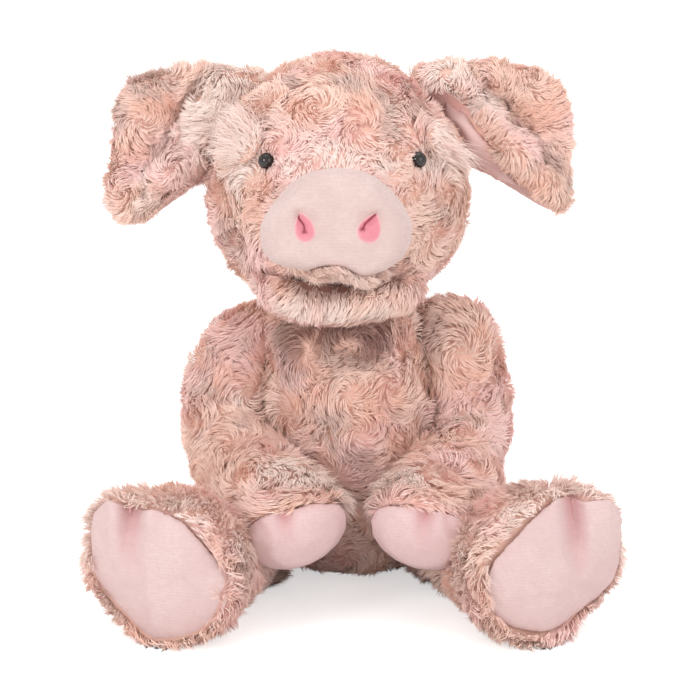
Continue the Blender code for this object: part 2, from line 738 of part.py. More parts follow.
def build_torso(finish):
    """The torso's skin and filling, the bean pouch in its seat and the plug of filling in its neck."""
    core = torso_rings(CORE_SEGMENTS, 4, 2, 3)
    hollow = tool("torso_hollow", loft(core, -PLUSH_WALL))
    skin = add("torso_skin", loft(torso_rings(BODY_SEGMENTS, *TORSO_STEPS)), finish["plush"])
    filling = add("torso_filling", loft(core, -PLUSH_WALL - GAP), finish["fibre"])
    plug_foot = NECK_PIVOT_HEIGHT + NECK_RADIUS - PLUSH_WALL - NECK_PLUG_SINK
    plug_top = NECK_RADIUS + PLUSH_WALL
    plug_rows = [(plug_foot - NECK_PIVOT_HEIGHT, 0), (plug_foot - NECK_PIVOT_HEIGHT, NECK_PLUG_RADIUS),
                 (math.sqrt(plug_top ** 2 - NECK_PLUG_RADIUS ** 2), NECK_PLUG_RADIUS), (plug_top, 0)]
    plug = add("neck_filling", lathe(plug_rows, NECK_PIVOT, UP, POUCH_SEGMENTS), finish["fibre"])
    # The flats of the room clear the corners of the plug, so that the plug turns
    room_radius = (NECK_PLUG_RADIUS + GAP) / math.cos(math.pi / POUCH_SEGMENTS)
    plug_room_rows = [(row[0] + (GAP if i > 1 else -GAP), row[1] and room_radius)
                      for i, row in enumerate(plug_rows)]
    plug_room = tool("neck_room", lathe(plug_room_rows, NECK_PIVOT, UP, POUCH_SEGMENTS))
    pouch_middle = place(0, 0, PLUSH_WALL + POUCH_LIFT + POUCH_HEIGHT / 2)
    half_sizes = (POUCH_WIDTH / 2, POUCH_WIDTH / 2, POUCH_HEIGHT / 2)
    axes = (Vector((1, 0, 0)), Vector((0, 1, 0)), UP)
    add("seat_bean_pouch", ellipsoid(pouch_middle, *axes, half_sizes, POUCH_SEGMENTS),
        finish["lining"])
    turns = [math.pi * i / POUCH_SEGMENTS for i in range(POUCH_SEGMENTS // 2)]
    wide, tall = (POUCH_WIDTH / 2 + GAP) / math.cos(math.pi / POUCH_SEGMENTS), POUCH_HEIGHT / 2 + GAP
    room_rows = [(-OVERRUN, 0), (-OVERRUN, wide)]
    room_rows += [(tall * math.sin(a), wide * math.cos(a)) for a in turns]
    room_rows.append((tall, 0))
    pouch_room = tool("pouch_room", lathe(room_rows, pouch_middle, UP, POUCH_SEGMENTS))
    for shape in (hollow, plug_room):
        trim(skin, shape)
    for shape in (plug_room, pouch_room):
        trim(filling, shape)
    trim(skin, tool("seat_plane", slab(Vector(), Vector((1, 0, 0)), Vector((0, -1, 0)), -UP, TOOL_BLOCK)))
    hinge_to([plug], "neck_turn", NECK_PIVOT)


def eye_place(side):
    """Where an eye sits on the face, and the way it looks."""
    side_way = EYE_MIDDLE + SIDES[side] * EYE_SPACING / 2
    height = HEAD_BOTTOM + EYE_RISE
    axis = face_normal(side_way, height)
    return face_point(side_way, height) - axis * EYE_SINK, axis


def build_eye(side, skin, filling, finish):
    """One plastic eye through the skin, its washer inside and the long-pile patch beside it."""
    middle, axis = eye_place(side)
    eye = add(side + "_eye", lathe(eye_profile(), middle, axis, PATCH_SEGMENTS), finish["eye"])
    room = tool(side + "_eye_room", lathe(eye_profile(), middle, axis, PATCH_SEGMENTS, GAP))
    washer_middle = middle - axis * WASHER_DEPTH
    washer = add(side + "_eye_washer", washer_mesh(washer_middle, axis), finish["washer"])
    washer_room = tool(side + "_washer_room", washer_mesh(washer_middle, axis, GAP))
    side_way = EYE_MIDDLE + SIDES[side] * (EYE_SPACING / 2 + BROW_OUT)
    height = HEAD_BOTTOM + EYE_RISE + BROW_UP
    out = face_normal(side_way, height)
    across = UP.cross(out).normalized()
    brow_middle = face_point(side_way, height) - out * BROW_THICKNESS / 5
    half_sizes = (BROW_LENGTH / 2, BROW_HEIGHT / 2, BROW_THICKNESS / 2)
    axes = (across, out.cross(across), out)
    brow = add(side + "_brow", ellipsoid(brow_middle, *axes, half_sizes, PATCH_SEGMENTS), finish["brow"])
    brow_room = tool(side + "_brow_room", ellipsoid(brow_middle, *axes, half_sizes, PATCH_SEGMENTS, GAP))
    trim(brow, room)
    for shape in (brow_room, room, washer_room):
        trim(skin, shape)
    for shape in (room, washer_room):
        trim(filling, shape)
    return [eye, washer, brow]


def build_snout(head_room, finish):
    """The velour snout, open at the back, its filling and the two sewn nostrils."""
    snout = add("snout", loft(snout_rings(SNOUT_SEGMENTS)), finish["velour"])
    filling = add("snout_filling", loft(snout_rings(CORE_SEGMENTS), -VELOUR_WALL - GAP), finish["fibre"])
    trim(snout, tool("snout_hollow", loft(snout_rings(CORE_SEGMENTS), -VELOUR_WALL)))
    trim(snout, head_room)
    trim(filling, head_room)
    pieces = [snout, filling]
    for side, sign in SIDES.items():
        lean = math.radians(NOSTRIL_LEAN_DEG) * sign
        long_way = place(math.sin(lean), 0, math.cos(lean))
        middle = place(HEAD_SIDE + sign * NOSTRIL_SPACING / 2,
                       SNOUT_TIP - NOSTRIL_THICKNESS / 2 - EYE_SINK, HEAD_BOTTOM + SNOUT_RISE)
        axes = (long_way.cross(place(0, 1, 0)), long_way, place(0, 1, 0))
        half_sizes = (NOSTRIL_WIDTH / 2, NOSTRIL_HEIGHT / 2, NOSTRIL_THICKNESS / 2)
        patch = ellipsoid(middle, *axes, half_sizes, PATCH_SEGMENTS)
        pieces.append(add(side + "_nostril", patch, finish["nostril"]))
        room = tool(side + "_nostril_room", ellipsoid(middle, *axes, half_sizes, PATCH_SEGMENTS, GAP))
        trim(snout, room)
        trim(filling, room)
    return pieces


def build_jaw(head_room, finish):
    """The plush lower jaw under the muzzle, open to the head, and its filling."""
    middle = place(HEAD_SIDE, JAW_FORWARD, HEAD_BOTTOM + JAW_RISE)
    half_sizes = (JAW_WIDTH / 2, JAW_DEPTH / 2, JAW_HEIGHT / 2)
    axes = (Vector((1, 0, 0)), Vector((0, 1, 0)), UP)
    jaw = add("lower_jaw", ellipsoid(middle, *axes, half_sizes, LIMB_SEGMENTS), finish["plush"])
    filling = add("jaw_filling", ellipsoid(middle, *axes, half_sizes, CORE_SEGMENTS, -PLUSH_WALL - GAP),
                  finish["fibre"])
    trim(jaw, tool("jaw_hollow", ellipsoid(middle, *axes, half_sizes, CORE_SEGMENTS, -PLUSH_WALL)))
    for piece in (jaw, filling):
        trim(piece, head_room)
        trim(piece, tool(piece.name + "_neck_room", ball(NECK_PIVOT, NECK_RADIUS + GAP)))
    return [jaw, filling]


def build_head(head_room, finish):
    """The head's skin, round below where it sits on the neck, its filling and its face."""
    core = head_rings(CORE_SEGMENTS + 2, CORE_RINGS)
    hollow = tool("head_hollow", loft(core, -PLUSH_WALL))
    trim(hollow, tool("neck_wall", ball(NECK_PIVOT, NECK_RADIUS + GAP + PLUSH_WALL)))
    skin = add("head_skin", loft(head_rings(HEAD_SEGMENTS, HEAD_RINGS)), finish["plush"])
    trim(skin, hollow)
    trim(skin, tool("neck_socket", ball(NECK_PIVOT, NECK_RADIUS + GAP)))
    nod_room = (NECK_RADIUS + PLUSH_WALL) * math.sin(math.radians(NOD_LIMIT_DEG))
    mouth_radius = (NECK_PLUG_RADIUS + nod_room + 2 * GAP) / math.cos(math.pi / POUCH_SEGMENTS)
    mouth_rows = [(0, 0), (0, mouth_radius), (NECK_RADIUS + PLUSH_WALL * 2, mouth_radius),
                  (NECK_RADIUS + PLUSH_WALL * 2, 0)]
    trim(skin, tool("neck_mouth", lathe(mouth_rows, NECK_PIVOT, UP, POUCH_SEGMENTS)))
    filling = add("head_filling", loft(core, -PLUSH_WALL - GAP), finish["fibre"])
    trim(filling, tool("neck_filling_room", ball(NECK_PIVOT, NECK_RADIUS + PLUSH_WALL + 2 * GAP)))
    pieces = [skin, filling]
    for side in SIDES:
        pieces += build_eye(side, skin, filling, finish)
    return pieces + build_snout(head_room, finish) + build_jaw(head_room, finish)


def ear_hinge(side):
    """A point on the seam that an ear turns about, and the seam's direction for a forward flap."""
    low, high = ear_point(side, EAR_ROW_SHARES[side][1], 0, 0), ear_point(side, EAR_ROW_SHARES[side][1], 1, 0)
    axis = (high - low).normalized() * -SIDES[side]
    return (low + high) / 2, axis


def build_ear(side, head_form, finish):
    """One ear and its velour lining, trimmed where they would meet the head as the ear flaps."""
    pivot, axis = ear_hinge(side)
    ear = add(side + "_ear", loft(ear_rings(side)), finish["plush"])
    lining = add(side + "_ear_lining", loft(lining_rings(side)), finish["velour"])
    back, forward = EAR_FLAP_DEG
    for i in range(ROOT_STEPS + 1):
        angle = back + (forward - back) * i / ROOT_STEPS
        shape = tool(side + "_ear_root_" + str(i), turned(head_form, pivot, axis, -angle, i))
        trim(ear, shape)
        trim(lining, shape)
    return hinge_to([ear, lining], side + "_ear_seam", pivot)


def build_arm(side, torso_form, leg_form, finish):
    """One arm: plush sleeve, velour hoof, filling, and the stitch that draws in the cleft."""
    sign = SIDES[side]
    shoulder = place(SHOULDER_MIDDLE + sign * SHOULDER_OUT, 0, SHOULDER_HEIGHT)
    form = arm_rings(side, LIMB_SEGMENTS, ARM_RINGS)
    core = arm_rings(side, CORE_SEGMENTS, CORE_RINGS, False)
    skin = add(side + "_arm_skin", loft(form), finish["plush"])
    paw = add(side + "_paw", loft(form), finish["velour"])
    filling = add(side + "_arm_filling", loft(core, -PLUSH_WALL - GAP), finish["fibre"])
    trim(skin, tool(side + "_arm_hollow", loft(core, -PLUSH_WALL)))
    trim(paw, tool(side + "_paw_hollow", loft(form, -VELOUR_WALL)))
    points = [row[0] for row in arm_rows(side)]
    along = (points[-1] - points[-5]).normalized()
    tilt = math.radians(CUFF_TILT_DEG)
    out = (along * math.cos(tilt) - UP * math.sin(tilt)).normalized()
    across = UP.cross(out).normalized()
    deep = out.cross(across)
    cuff = points[-1] - along * CUFF_BACK
    trim(skin, tool(side + "_cuff_front", slab(cuff - out * GAP / 2, across, deep, out, TOOL_BLOCK)))
    trim(paw, tool(side + "_cuff_back", slab(cuff + out * GAP / 2, across, -deep, -out, TOOL_BLOCK)))
    stitch = add(side + "_paw_stitch", loft(thread_rings(paw_stitch(side))), finish["thread"])
    trim(paw, tool(side + "_paw_stitch_room", loft(thread_rings(paw_stitch(side), GAP))))
    axis = Vector((1, 0, 0))
    hip = leg_middle(side, 0, 0)
    for i in range(SWING_STEPS + 1):
        # A negative turn about +X lifts the forearm, so the torso is turned the other way
        shape = tool(side + "_arm_root_" + str(i),
                     turned(torso_form, shoulder, axis, ARM_SWING_DEG * i / SWING_STEPS, i))
        trim(skin, shape)
        trim(filling, shape)
    for i in range(ROOT_STEPS + 1):
        thigh = tool(side + "_thigh_" + str(i),
                     turned(leg_form, hip, UP, sign * LEG_SWING_DEG * i / ROOT_STEPS, i))
        for piece in (skin, paw, filling):
            trim(piece, thigh)
    hinge_to([skin, paw, filling, stitch], side + "_shoulder", shoulder)


def build_leg(side, torso_form, finish):
    """One leg: plush skin with an upright foot, velour sole, filling and the stitch in its cleft."""
    sign = SIDES[side]
    hip = leg_middle(side, 0, 0)
    skin = add(side + "_leg_skin", loft(leg_rings(side, LIMB_SEGMENTS, LEG_RINGS)), finish["plush"])
    core = leg_rings(side, CORE_SEGMENTS, CORE_RINGS)
    filling = add(side + "_leg_filling", loft(core, -PLUSH_WALL - GAP), finish["fibre"])
    trim(skin, tool(side + "_leg_hollow", loft(core, -PLUSH_WALL)))
    sole = add(side + "_sole", loft(sole_rings(side, SOLE_SEGMENTS)), finish["velour"])
    room = tool(side + "_sole_room", loft(sole_room(side, SOLE_SEGMENTS)))
    trim(skin, room)
    trim(filling, room)
    points = [sole_point(side, math.pi / 2, size, 0) for size in SOLE_STITCH_SHARES]
    stitch = add(side + "_sole_stitch", loft(thread_rings(points)), finish["thread"])
    trim(sole, tool(side + "_sole_stitch_room", loft(thread_rings(points, GAP))))
    for i in range(ROOT_STEPS + 1):
        shape = tool(side + "_leg_root_" + str(i),
                     turned(torso_form, hip, UP, -sign * LEG_SWING_DEG * i / ROOT_STEPS, i))
        trim(skin, shape)
        trim(filling, shape)
    trim(skin, tool(side + "_floor", slab(Vector(), Vector((1, 0, 0)), Vector((0, -1, 0)), -UP, TOOL_BLOCK)))
    hinge_to([skin, sole, filling, stitch], side + "_hip", hip)


def build_tail(torso_form, finish):
    """The curly tail, trimmed where it would meet the torso as it wags."""
    pivot = place(0, -TORSO_DEPTH / 2, TAIL_HEIGHT)
    tail = add("tail", loft(tail_rings(8)), finish["plush"])
    for i, angle in enumerate((-TAIL_WAG_DEG, 0, TAIL_WAG_DEG)):
        trim(tail, tool("tail_root_" + str(i), turned(torso_form, pivot, UP, angle, i)))
    hinge_to([tail], "tail_seam", pivot)


def main():
    """Build every piece of the pig."""
    for old in list(bpy.data.objects):
        bpy.data.objects.remove(old, do_unlink=True)
    finish = {
        "plush": material("rose_plush", (0.80, 0.55, 0.47), 1.0),
        "velour": material("pale_velour", (0.88, 0.69, 0.67), 0.95),
        "brow": material("long_pale_pile", (0.80, 0.62, 0.60), 1.0),
        "nostril": material("pink_embroidery", (0.80, 0.34, 0.39), 0.8),
        "eye": material("black_plastic", (0.015, 0.012, 0.012), 0.12),
        "washer": material("white_nylon", (0.85, 0.85, 0.82), 0.5),
        "fibre": material("polyester_fibre", (0.93, 0.93, 0.92), 1.0),
        "lining": material("woven_lining", (0.75, 0.70, 0.66), 0.9),
        "thread": material("pink_thread", (0.82, 0.60, 0.58), 0.7)}
    torso_form = torso_rings(BODY_SEGMENTS, *TORSO_STEPS)
    head_form = head_rings(HEAD_SEGMENTS, HEAD_RINGS)
    build_torso(finish)
    head = build_head(tool("head_room", loft(head_form, GAP)), finish)
    for side in SIDES:
        head.append(build_ear(side, head_form, finish))
        build_arm(side, torso_form, leg_rings(side, LIMB_SEGMENTS, LEG_RINGS), finish)
        build_leg(side, torso_form, finish)
    build_tail(torso_form, finish)
    hinge_to(head, "neck_nod", NECK_PIVOT)


main()
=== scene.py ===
import math

import bmesh
import bpy
import numpy as np
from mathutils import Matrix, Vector
from mathutils.bvhtree import BVHTree
from mathutils.kdtree import KDTree


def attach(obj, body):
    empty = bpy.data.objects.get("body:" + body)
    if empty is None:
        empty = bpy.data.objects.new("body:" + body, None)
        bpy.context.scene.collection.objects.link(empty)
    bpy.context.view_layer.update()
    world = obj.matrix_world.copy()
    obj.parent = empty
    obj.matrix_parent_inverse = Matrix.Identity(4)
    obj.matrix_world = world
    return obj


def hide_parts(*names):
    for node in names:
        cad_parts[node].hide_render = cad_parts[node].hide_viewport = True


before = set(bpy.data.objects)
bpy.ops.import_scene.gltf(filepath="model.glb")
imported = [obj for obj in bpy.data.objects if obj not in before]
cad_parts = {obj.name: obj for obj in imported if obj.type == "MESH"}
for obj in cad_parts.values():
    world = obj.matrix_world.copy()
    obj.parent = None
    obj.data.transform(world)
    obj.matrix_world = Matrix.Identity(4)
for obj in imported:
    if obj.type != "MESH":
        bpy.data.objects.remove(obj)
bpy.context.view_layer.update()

# The studio: a camera a little above the toy, a white sweep of paper under and behind it,
# and wide soft lamps. None of it belongs to the toy.
MM = 0.001
AIM = Vector((-2, 0, 124.3)) * MM
CAMERA_AWAY = 1.4
CAMERA_LIFT = math.radians(13)
CAMERA_LENS = 125.64
PAPER_SIZE = 14.0
LAMPS = {
    "window": {"place": (-1.3, -1.5, 0.95), "size": 0.55, "watts": 12.0},
    "fill": {"place": (1.4, -1.6, 0.9), "size": 1.3, "watts": 11.0},
    "top": {"place": (0.0, 0.2, 1.8), "size": 1.4, "watts": 7.0},
}
ROOM_LIGHT = 0.8

bpy.context.scene.view_settings.view_transform = "Standard"
bpy.ops.object.select_all(action="DESELECT")
seat = AIM + CAMERA_AWAY * Vector((0, -math.cos(CAMERA_LIFT), math.sin(CAMERA_LIFT)))
bpy.ops.object.camera_add(location=seat, rotation=(math.pi / 2 - CAMERA_LIFT, 0, 0))
camera = bpy.context.object
camera.name = "front_camera"
camera.data.sensor_width = 36
camera.data.lens = CAMERA_LENS
camera.data.clip_start = 0.05
bpy.context.scene.camera = camera

for lamp_name, lamp in LAMPS.items():
    bpy.ops.object.light_add(type="AREA", location=lamp["place"])
    light = bpy.context.object
    light.name = lamp_name + "_lamp"
    light.data.size = lamp["size"]
    light.data.energy = lamp["watts"]
    light.rotation_euler = (AIM - light.location).to_track_quat("-Z", "Y").to_euler()


def shade(red, green, blue):
    """A colour as it is seen on paper, 0 to 255, as the plain light value that a shader takes."""
    parts = [c / 255 for c in (red, green, blue)]
    return [c / 12.92 if c <= 0.04045 else ((c + 0.055) / 1.055) ** 2.4 for c in parts] + [1]


def add_node(tree, kind, links=(), **settings):
    """One node with its settings; links pairs an input's name or number with the output that feeds it."""
    node = tree.nodes.new(kind)
    for key, value in settings.items():
        setattr(node, key, value)
    for key, source in dict(links).items():
        if hasattr(source, "is_output"):
            tree.links.new(source, node.inputs[key])
        else:
            node.inputs[key].default_value = source
    return node


def seen_directly(tree):
    """1 for what the camera sees by itself or in a gloss, and 0 for light that falls on the toy."""
    path = add_node(tree, "ShaderNodeLightPath")
    first = add_node(tree, "ShaderNodeMath", operation="MAXIMUM",
                     links={0: path.outputs["Is Camera Ray"], 1: path.outputs["Is Glossy Ray"]})
    return add_node(tree, "ShaderNodeMath", operation="MAXIMUM",
                    links={0: first.outputs[0], 1: path.outputs["Is Transmission Ray"]}).outputs[0]


room = bpy.data.worlds.new("white_room")
room.use_nodes = True
room.node_tree.nodes.clear()
plain = add_node(room.node_tree, "ShaderNodeBackground", links={"Color": (1, 0.985, 0.97, 1), "Strength": ROOM_LIGHT})
white = add_node(room.node_tree, "ShaderNodeBackground", links={"Color": (1, 1, 1, 1), "Strength": 1.0})
chosen = add_node(room.node_tree, "ShaderNodeMixShader",
                  links={0: seen_directly(room.node_tree), 1: plain.outputs[0], 2: white.outputs[0]})
add_node(room.node_tree, "ShaderNodeOutputWorld", links={"Surface": chosen.outputs[0]})
bpy.context.scene.world = room

bpy.ops.mesh.primitive_plane_add(size=PAPER_SIZE, location=(0, 0, 0))
paper = bpy.context.object
paper.name = "paper_floor"
paper_look = bpy.data.materials.new("white_paper")
paper_look.use_nodes = True
tree = paper_look.node_tree
tree.nodes.clear()
grain = add_node(tree, "ShaderNodeTexNoise", links={"Scale": 400.0, "Detail": 3.0})
tint = add_node(tree, "ShaderNodeMixRGB", links={0: grain.outputs["Fac"], 1: (0.86, 0.86, 0.86, 1), 2: (0.9, 0.9, 0.9, 1)})
matte = add_node(tree, "ShaderNodeBsdfDiffuse", links={"Color": tint.outputs[0]})
glow = add_node(tree, "ShaderNodeEmission", links={"Color": (1, 1, 1, 1), "Strength": 0.55})
lit = add_node(tree, "ShaderNodeAddShader", links={0: matte.outputs[0], 1: glow.outputs[0]})
paper_mix = add_node(tree, "ShaderNodeMixShader", links={0: seen_directly(tree), 1: matte.outputs[0], 2: lit.outputs[0]})
add_node(tree, "ShaderNodeOutputMaterial", links={"Surface": paper_mix.outputs[0]})
paper.data.materials.append(paper_look)

# The body: a pear of plush cloth filled with polyester fibre, with a pouch of pellets in the seat.
# The cloth is mottled rose pile, about 11 mm long, that the mill presses into swirls.
WELD = 0.00001
PLUSH_CELL = 0.0024
PILE_LENGTH = 0.0112
PILE_WIDTH = 0.00078
GROUND_SINK = 0.0014
SWIRL_SPACING = 0.0250
SWIRL_SOFT = 0.0105
SWIRL_EYE = 0.0085
SEAM_GAP = 0.0008
SEAM_REACH = 0.004
FLOOR_GAP = 0.0002
STRANDS_A_PIECE = 24000
LEAN_DEG = (30, 62)
CURL_DEG = (14, 26)
LOCK_TUFTS = 10
TUSSOCK_TUFTS = 80


def alone(piece):
    """Selects one piece and nothing else."""
    bpy.ops.object.select_all(action="DESELECT")
    piece.select_set(True)
    bpy.context.view_layer.objects.active = piece


def stuffed(name, nodes, cell, passes, pressed=None):
    """The plump outer shape of a sewn part: its skin and filling made one, with the facets smoothed.

    Where another part presses on one side, its cloth is worn thin, so that side is closed with a rounded
    patch from pressed outward, a place along x in mm.
    """
    shape = bmesh.new()
    for node in nodes:
        shape.from_mesh(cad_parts[node].data)
    bmesh.ops.remove_doubles(shape, verts=shape.verts, dist=WELD)
    if pressed:
        bmesh.ops.convex_hull(shape, input=[vert for vert in shape.verts if vert.co.x / (pressed * MM) > 1])
    mesh = bpy.data.meshes.new(name)
    shape.to_mesh(mesh)
    shape.free()
    form = bpy.data.objects.new(name, mesh)
    bpy.context.scene.collection.objects.link(form)
    alone(form)
    whole = form.modifiers.new("whole", "REMESH")
    whole.mode = "VOXEL"
    whole.voxel_size = cell
    bpy.ops.object.modifier_apply(modifier=whole.name)
    keep_outside(form)
    soft = form.modifiers.new("soft", "SMOOTH")
    soft.factor = 0.5
    soft.iterations = passes
    bpy.ops.object.modifier_apply(modifier=soft.name)
    bpy.ops.object.shade_smooth()
    form.data.materials.clear()
    return form


def keep_outside(form):
    """Drops the loose inner skins that stay where two walls nearly touch, and keeps the largest."""
    cloth = bmesh.new()
    cloth.from_mesh(form.data)
    cloth.faces.ensure_lookup_table()
    left = set(cloth.verts)
    groups = []
    while left:
        group = [left.pop()]
        for vert in group:
            for edge in vert.link_edges:
                other = edge.other_vert(vert)
                if other in left:
                    left.remove(other)
                    group.append(other)
        groups.append(group)
    groups.sort(key=len)
    for group in groups[:-1]:
        bmesh.ops.delete(cloth, geom=group, context="VERTS")
    cloth.to_mesh(form.data)
    cloth.free()


def wear(form, material, slot, body, *nodes):
    """Gives a piece its cloth and the body that it moves with, and hides the solids that it stands for."""
    form.data.materials.append(material)
    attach(form, body)
    if nodes:
        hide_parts(*nodes)


def vertices_of(form):
    """The places of a piece's points, one to a row."""
    places = np.empty(len(form.data.vertices) * 3)
    form.data.vertices.foreach_get("co", places)
    return places.reshape(-1, 3)


def sink(form, depth=GROUND_SINK):
    """Draws the cloth's ground in by the depth that the foot of its pile takes up."""
    places = vertices_of(form)
    facing = np.empty(len(places) * 3)
    form.data.vertex_normals.foreach_get("vector", facing)
    places -= facing.reshape(-1, 3) * depth
    form.data.vertices.foreach_set("co", places.ravel())
    form.data.update()


def grab(form, middle, reach, move):
    """Moves a soft spot of a form, as fingers would, in mm. Points past the reach stay."""
    places = vertices_of(form)
    gap = np.linalg.norm(places - np.array(middle) * MM, axis=1) / (reach * MM)
    share = np.clip(1 - gap ** 2, 0, 1) ** 2
    places += share[:, None] * np.array(move) * MM
    form.data.vertices.foreach_set("co", places.ravel())
    form.data.update()


def rest_on_floor(form, height=0.0010):
    """Presses the underside flat, a little above the floor, so that its pile lies between."""
    places = vertices_of(form)
    places[:, 2] = np.maximum(places[:, 2], height)
    form.data.vertices.foreach_set("co", places.ravel())
    form.data.update()


def against(*parts):
    """The cloth of the parts that lie against a part, to search for the nearest spot on it."""
    points, faces = [], []
    for part in parts:
        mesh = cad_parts[part].data if isinstance(part, str) else part.data
        start = len(points)
        points += [v.co.copy() for v in mesh.vertices]
        faces += [[start + i for i in face.vertices] for face in mesh.polygons]
    return BVHTree.FromPolygons(points, faces)


def spots_on(form, count, dice):
    """Random spots on a form, with the direction that its cloth faces at each."""
    mesh = form.data
    mesh.calc_loop_triangles()
    corners = np.empty(len(mesh.loop_triangles) * 3, np.int32)
    mesh.loop_triangles.foreach_get("vertices", corners)
    corners = corners.reshape(-1, 3)
    places = vertices_of(form)
    facing = np.empty(len(mesh.vertices) * 3)
    mesh.vertex_normals.foreach_get("vector", facing)
    facing = facing.reshape(-1, 3)
    one, two, three = (places[corners[:, i]] for i in range(3))
    area = np.linalg.norm(np.cross(two - one, three - one), axis=1)
    chosen = np.searchsorted(np.cumsum(area) / area.sum(), dice.random(count))
    a, b = dice.random(count), dice.random(count)
    over = a + b > 1
    a[over], b[over] = 1 - a[over], 1 - b[over]
    shares = np.stack([1 - a - b, a, b], 1)[:, :, None]
    roots = (places[corners[chosen]] * shares).sum(1)
    normals = unit((facing[corners[chosen]] * shares).sum(1))
    return roots, normals


def unit(rows):
    """Each row at length 1."""
    return rows / np.maximum(np.linalg.norm(rows, axis=-1, keepdims=True), 1e-9)


def turned_about(rows, axes, angles):
    """Each row turned about its own axis, which lies at a right angle to it."""
    return rows * np.cos(angles)[:, None] + np.cross(axes, rows) * np.sin(angles)[:, None]


def near(points, spots):
    """How strongly each point belongs to round spots in mm: 1 inside, or a spot's own strength, and 0 outside."""
    share = np.zeros(len(points))
    for x, y, z, reach, *strength in spots:
        gap = np.linalg.norm(points - np.array((x, y, z)) * MM, axis=1) / (reach * MM)
        share = np.maximum(share, np.clip(1.8 * (1 - gap), 0, 1) * (strength[0] if strength else 1))
    return share


def trail(points, reach, strength):
    """Round spots close together along a line through points in mm."""
    spots = []
    for first, last in zip(points, points[1:]):
        first, last = np.array(first, float), np.array(last, float)
        for share in np.linspace(0, 1, max(2, int(np.linalg.norm(last - first) / 2.5))):
            spots.append((*(first + (last - first) * share), reach, strength))
    return spots


def swirl_centres(roots, dice, spacing):
    """The middles of the swirls, which keep about one spacing from each other."""
    middles = []
    for i in dice.permutation(len(roots))[:6000]:
        if all(np.linalg.norm(roots[i] - roots[j]) > spacing for j in middles):
            middles.append(i)
    return np.array(middles)


def pile_headings(roots, normals, dice, spacing, nap):
    """Which way each strand lies on the cloth, and how near it is to the middle of its swirl."""
    middles = swirl_centres(roots, dice, spacing)
    sign = dice.choice((-1.0, 1.0), len(middles))
    twist = np.radians(dice.uniform(42, 78, len(middles)))
    gaps = np.linalg.norm(roots[:, None] - roots[middles][None], axis=2)
    order = np.argsort(gaps, axis=1)[:, :4]
    rows = np.arange(len(roots))
    heading = np.zeros_like(roots)
    for k in range(order.shape[1]):
        middle = order[:, k]
        gap = gaps[rows, middle]
        away = roots - roots[middles[middle]]
        away = unit(away - normals * (away * normals).sum(1, keepdims=True))
        facing = np.clip((normals * normals[middles[middle]]).sum(1), 0, 1)
        weight = (np.exp(-(gap / SWIRL_SOFT) ** 2) + 1e-6) * facing
        round_about = np.cross(normals, away) * sign[middle][:, None]
        way = away * np.cos(twist[middle])[:, None] + round_about * np.sin(twist[middle])[:, None]
        heading += way * weight[:, None]
    drift = np.sin(roots[:, [1, 2, 0]] * 170 + dice.uniform(0, 6, 3)) * np.cos(roots[:, [2, 0, 1]] * 110)
    heading = unit(heading) + np.array(nap) * 0.25 + drift * 0.45
    heading = unit(heading - normals * (heading * normals).sum(1, keepdims=True))
    first = order[:, 0]
    return heading, gaps[rows, first], sign[first]


def members(roots, normals, dice, size):
    """For each strand, the strand that leads its lock, where a lock has about size strands."""
    leaders = dice.choice(len(roots), max(len(roots) // size, 1), replace=False)
    locks = KDTree(len(leaders))
    raised = roots + normals * 0.004
    for k, i in enumerate(leaders):
        locks.insert(Vector(raised[i]), k)
    locks.balance()
    return leaders[[locks.find(Vector(spot))[1] for spot in raised]]


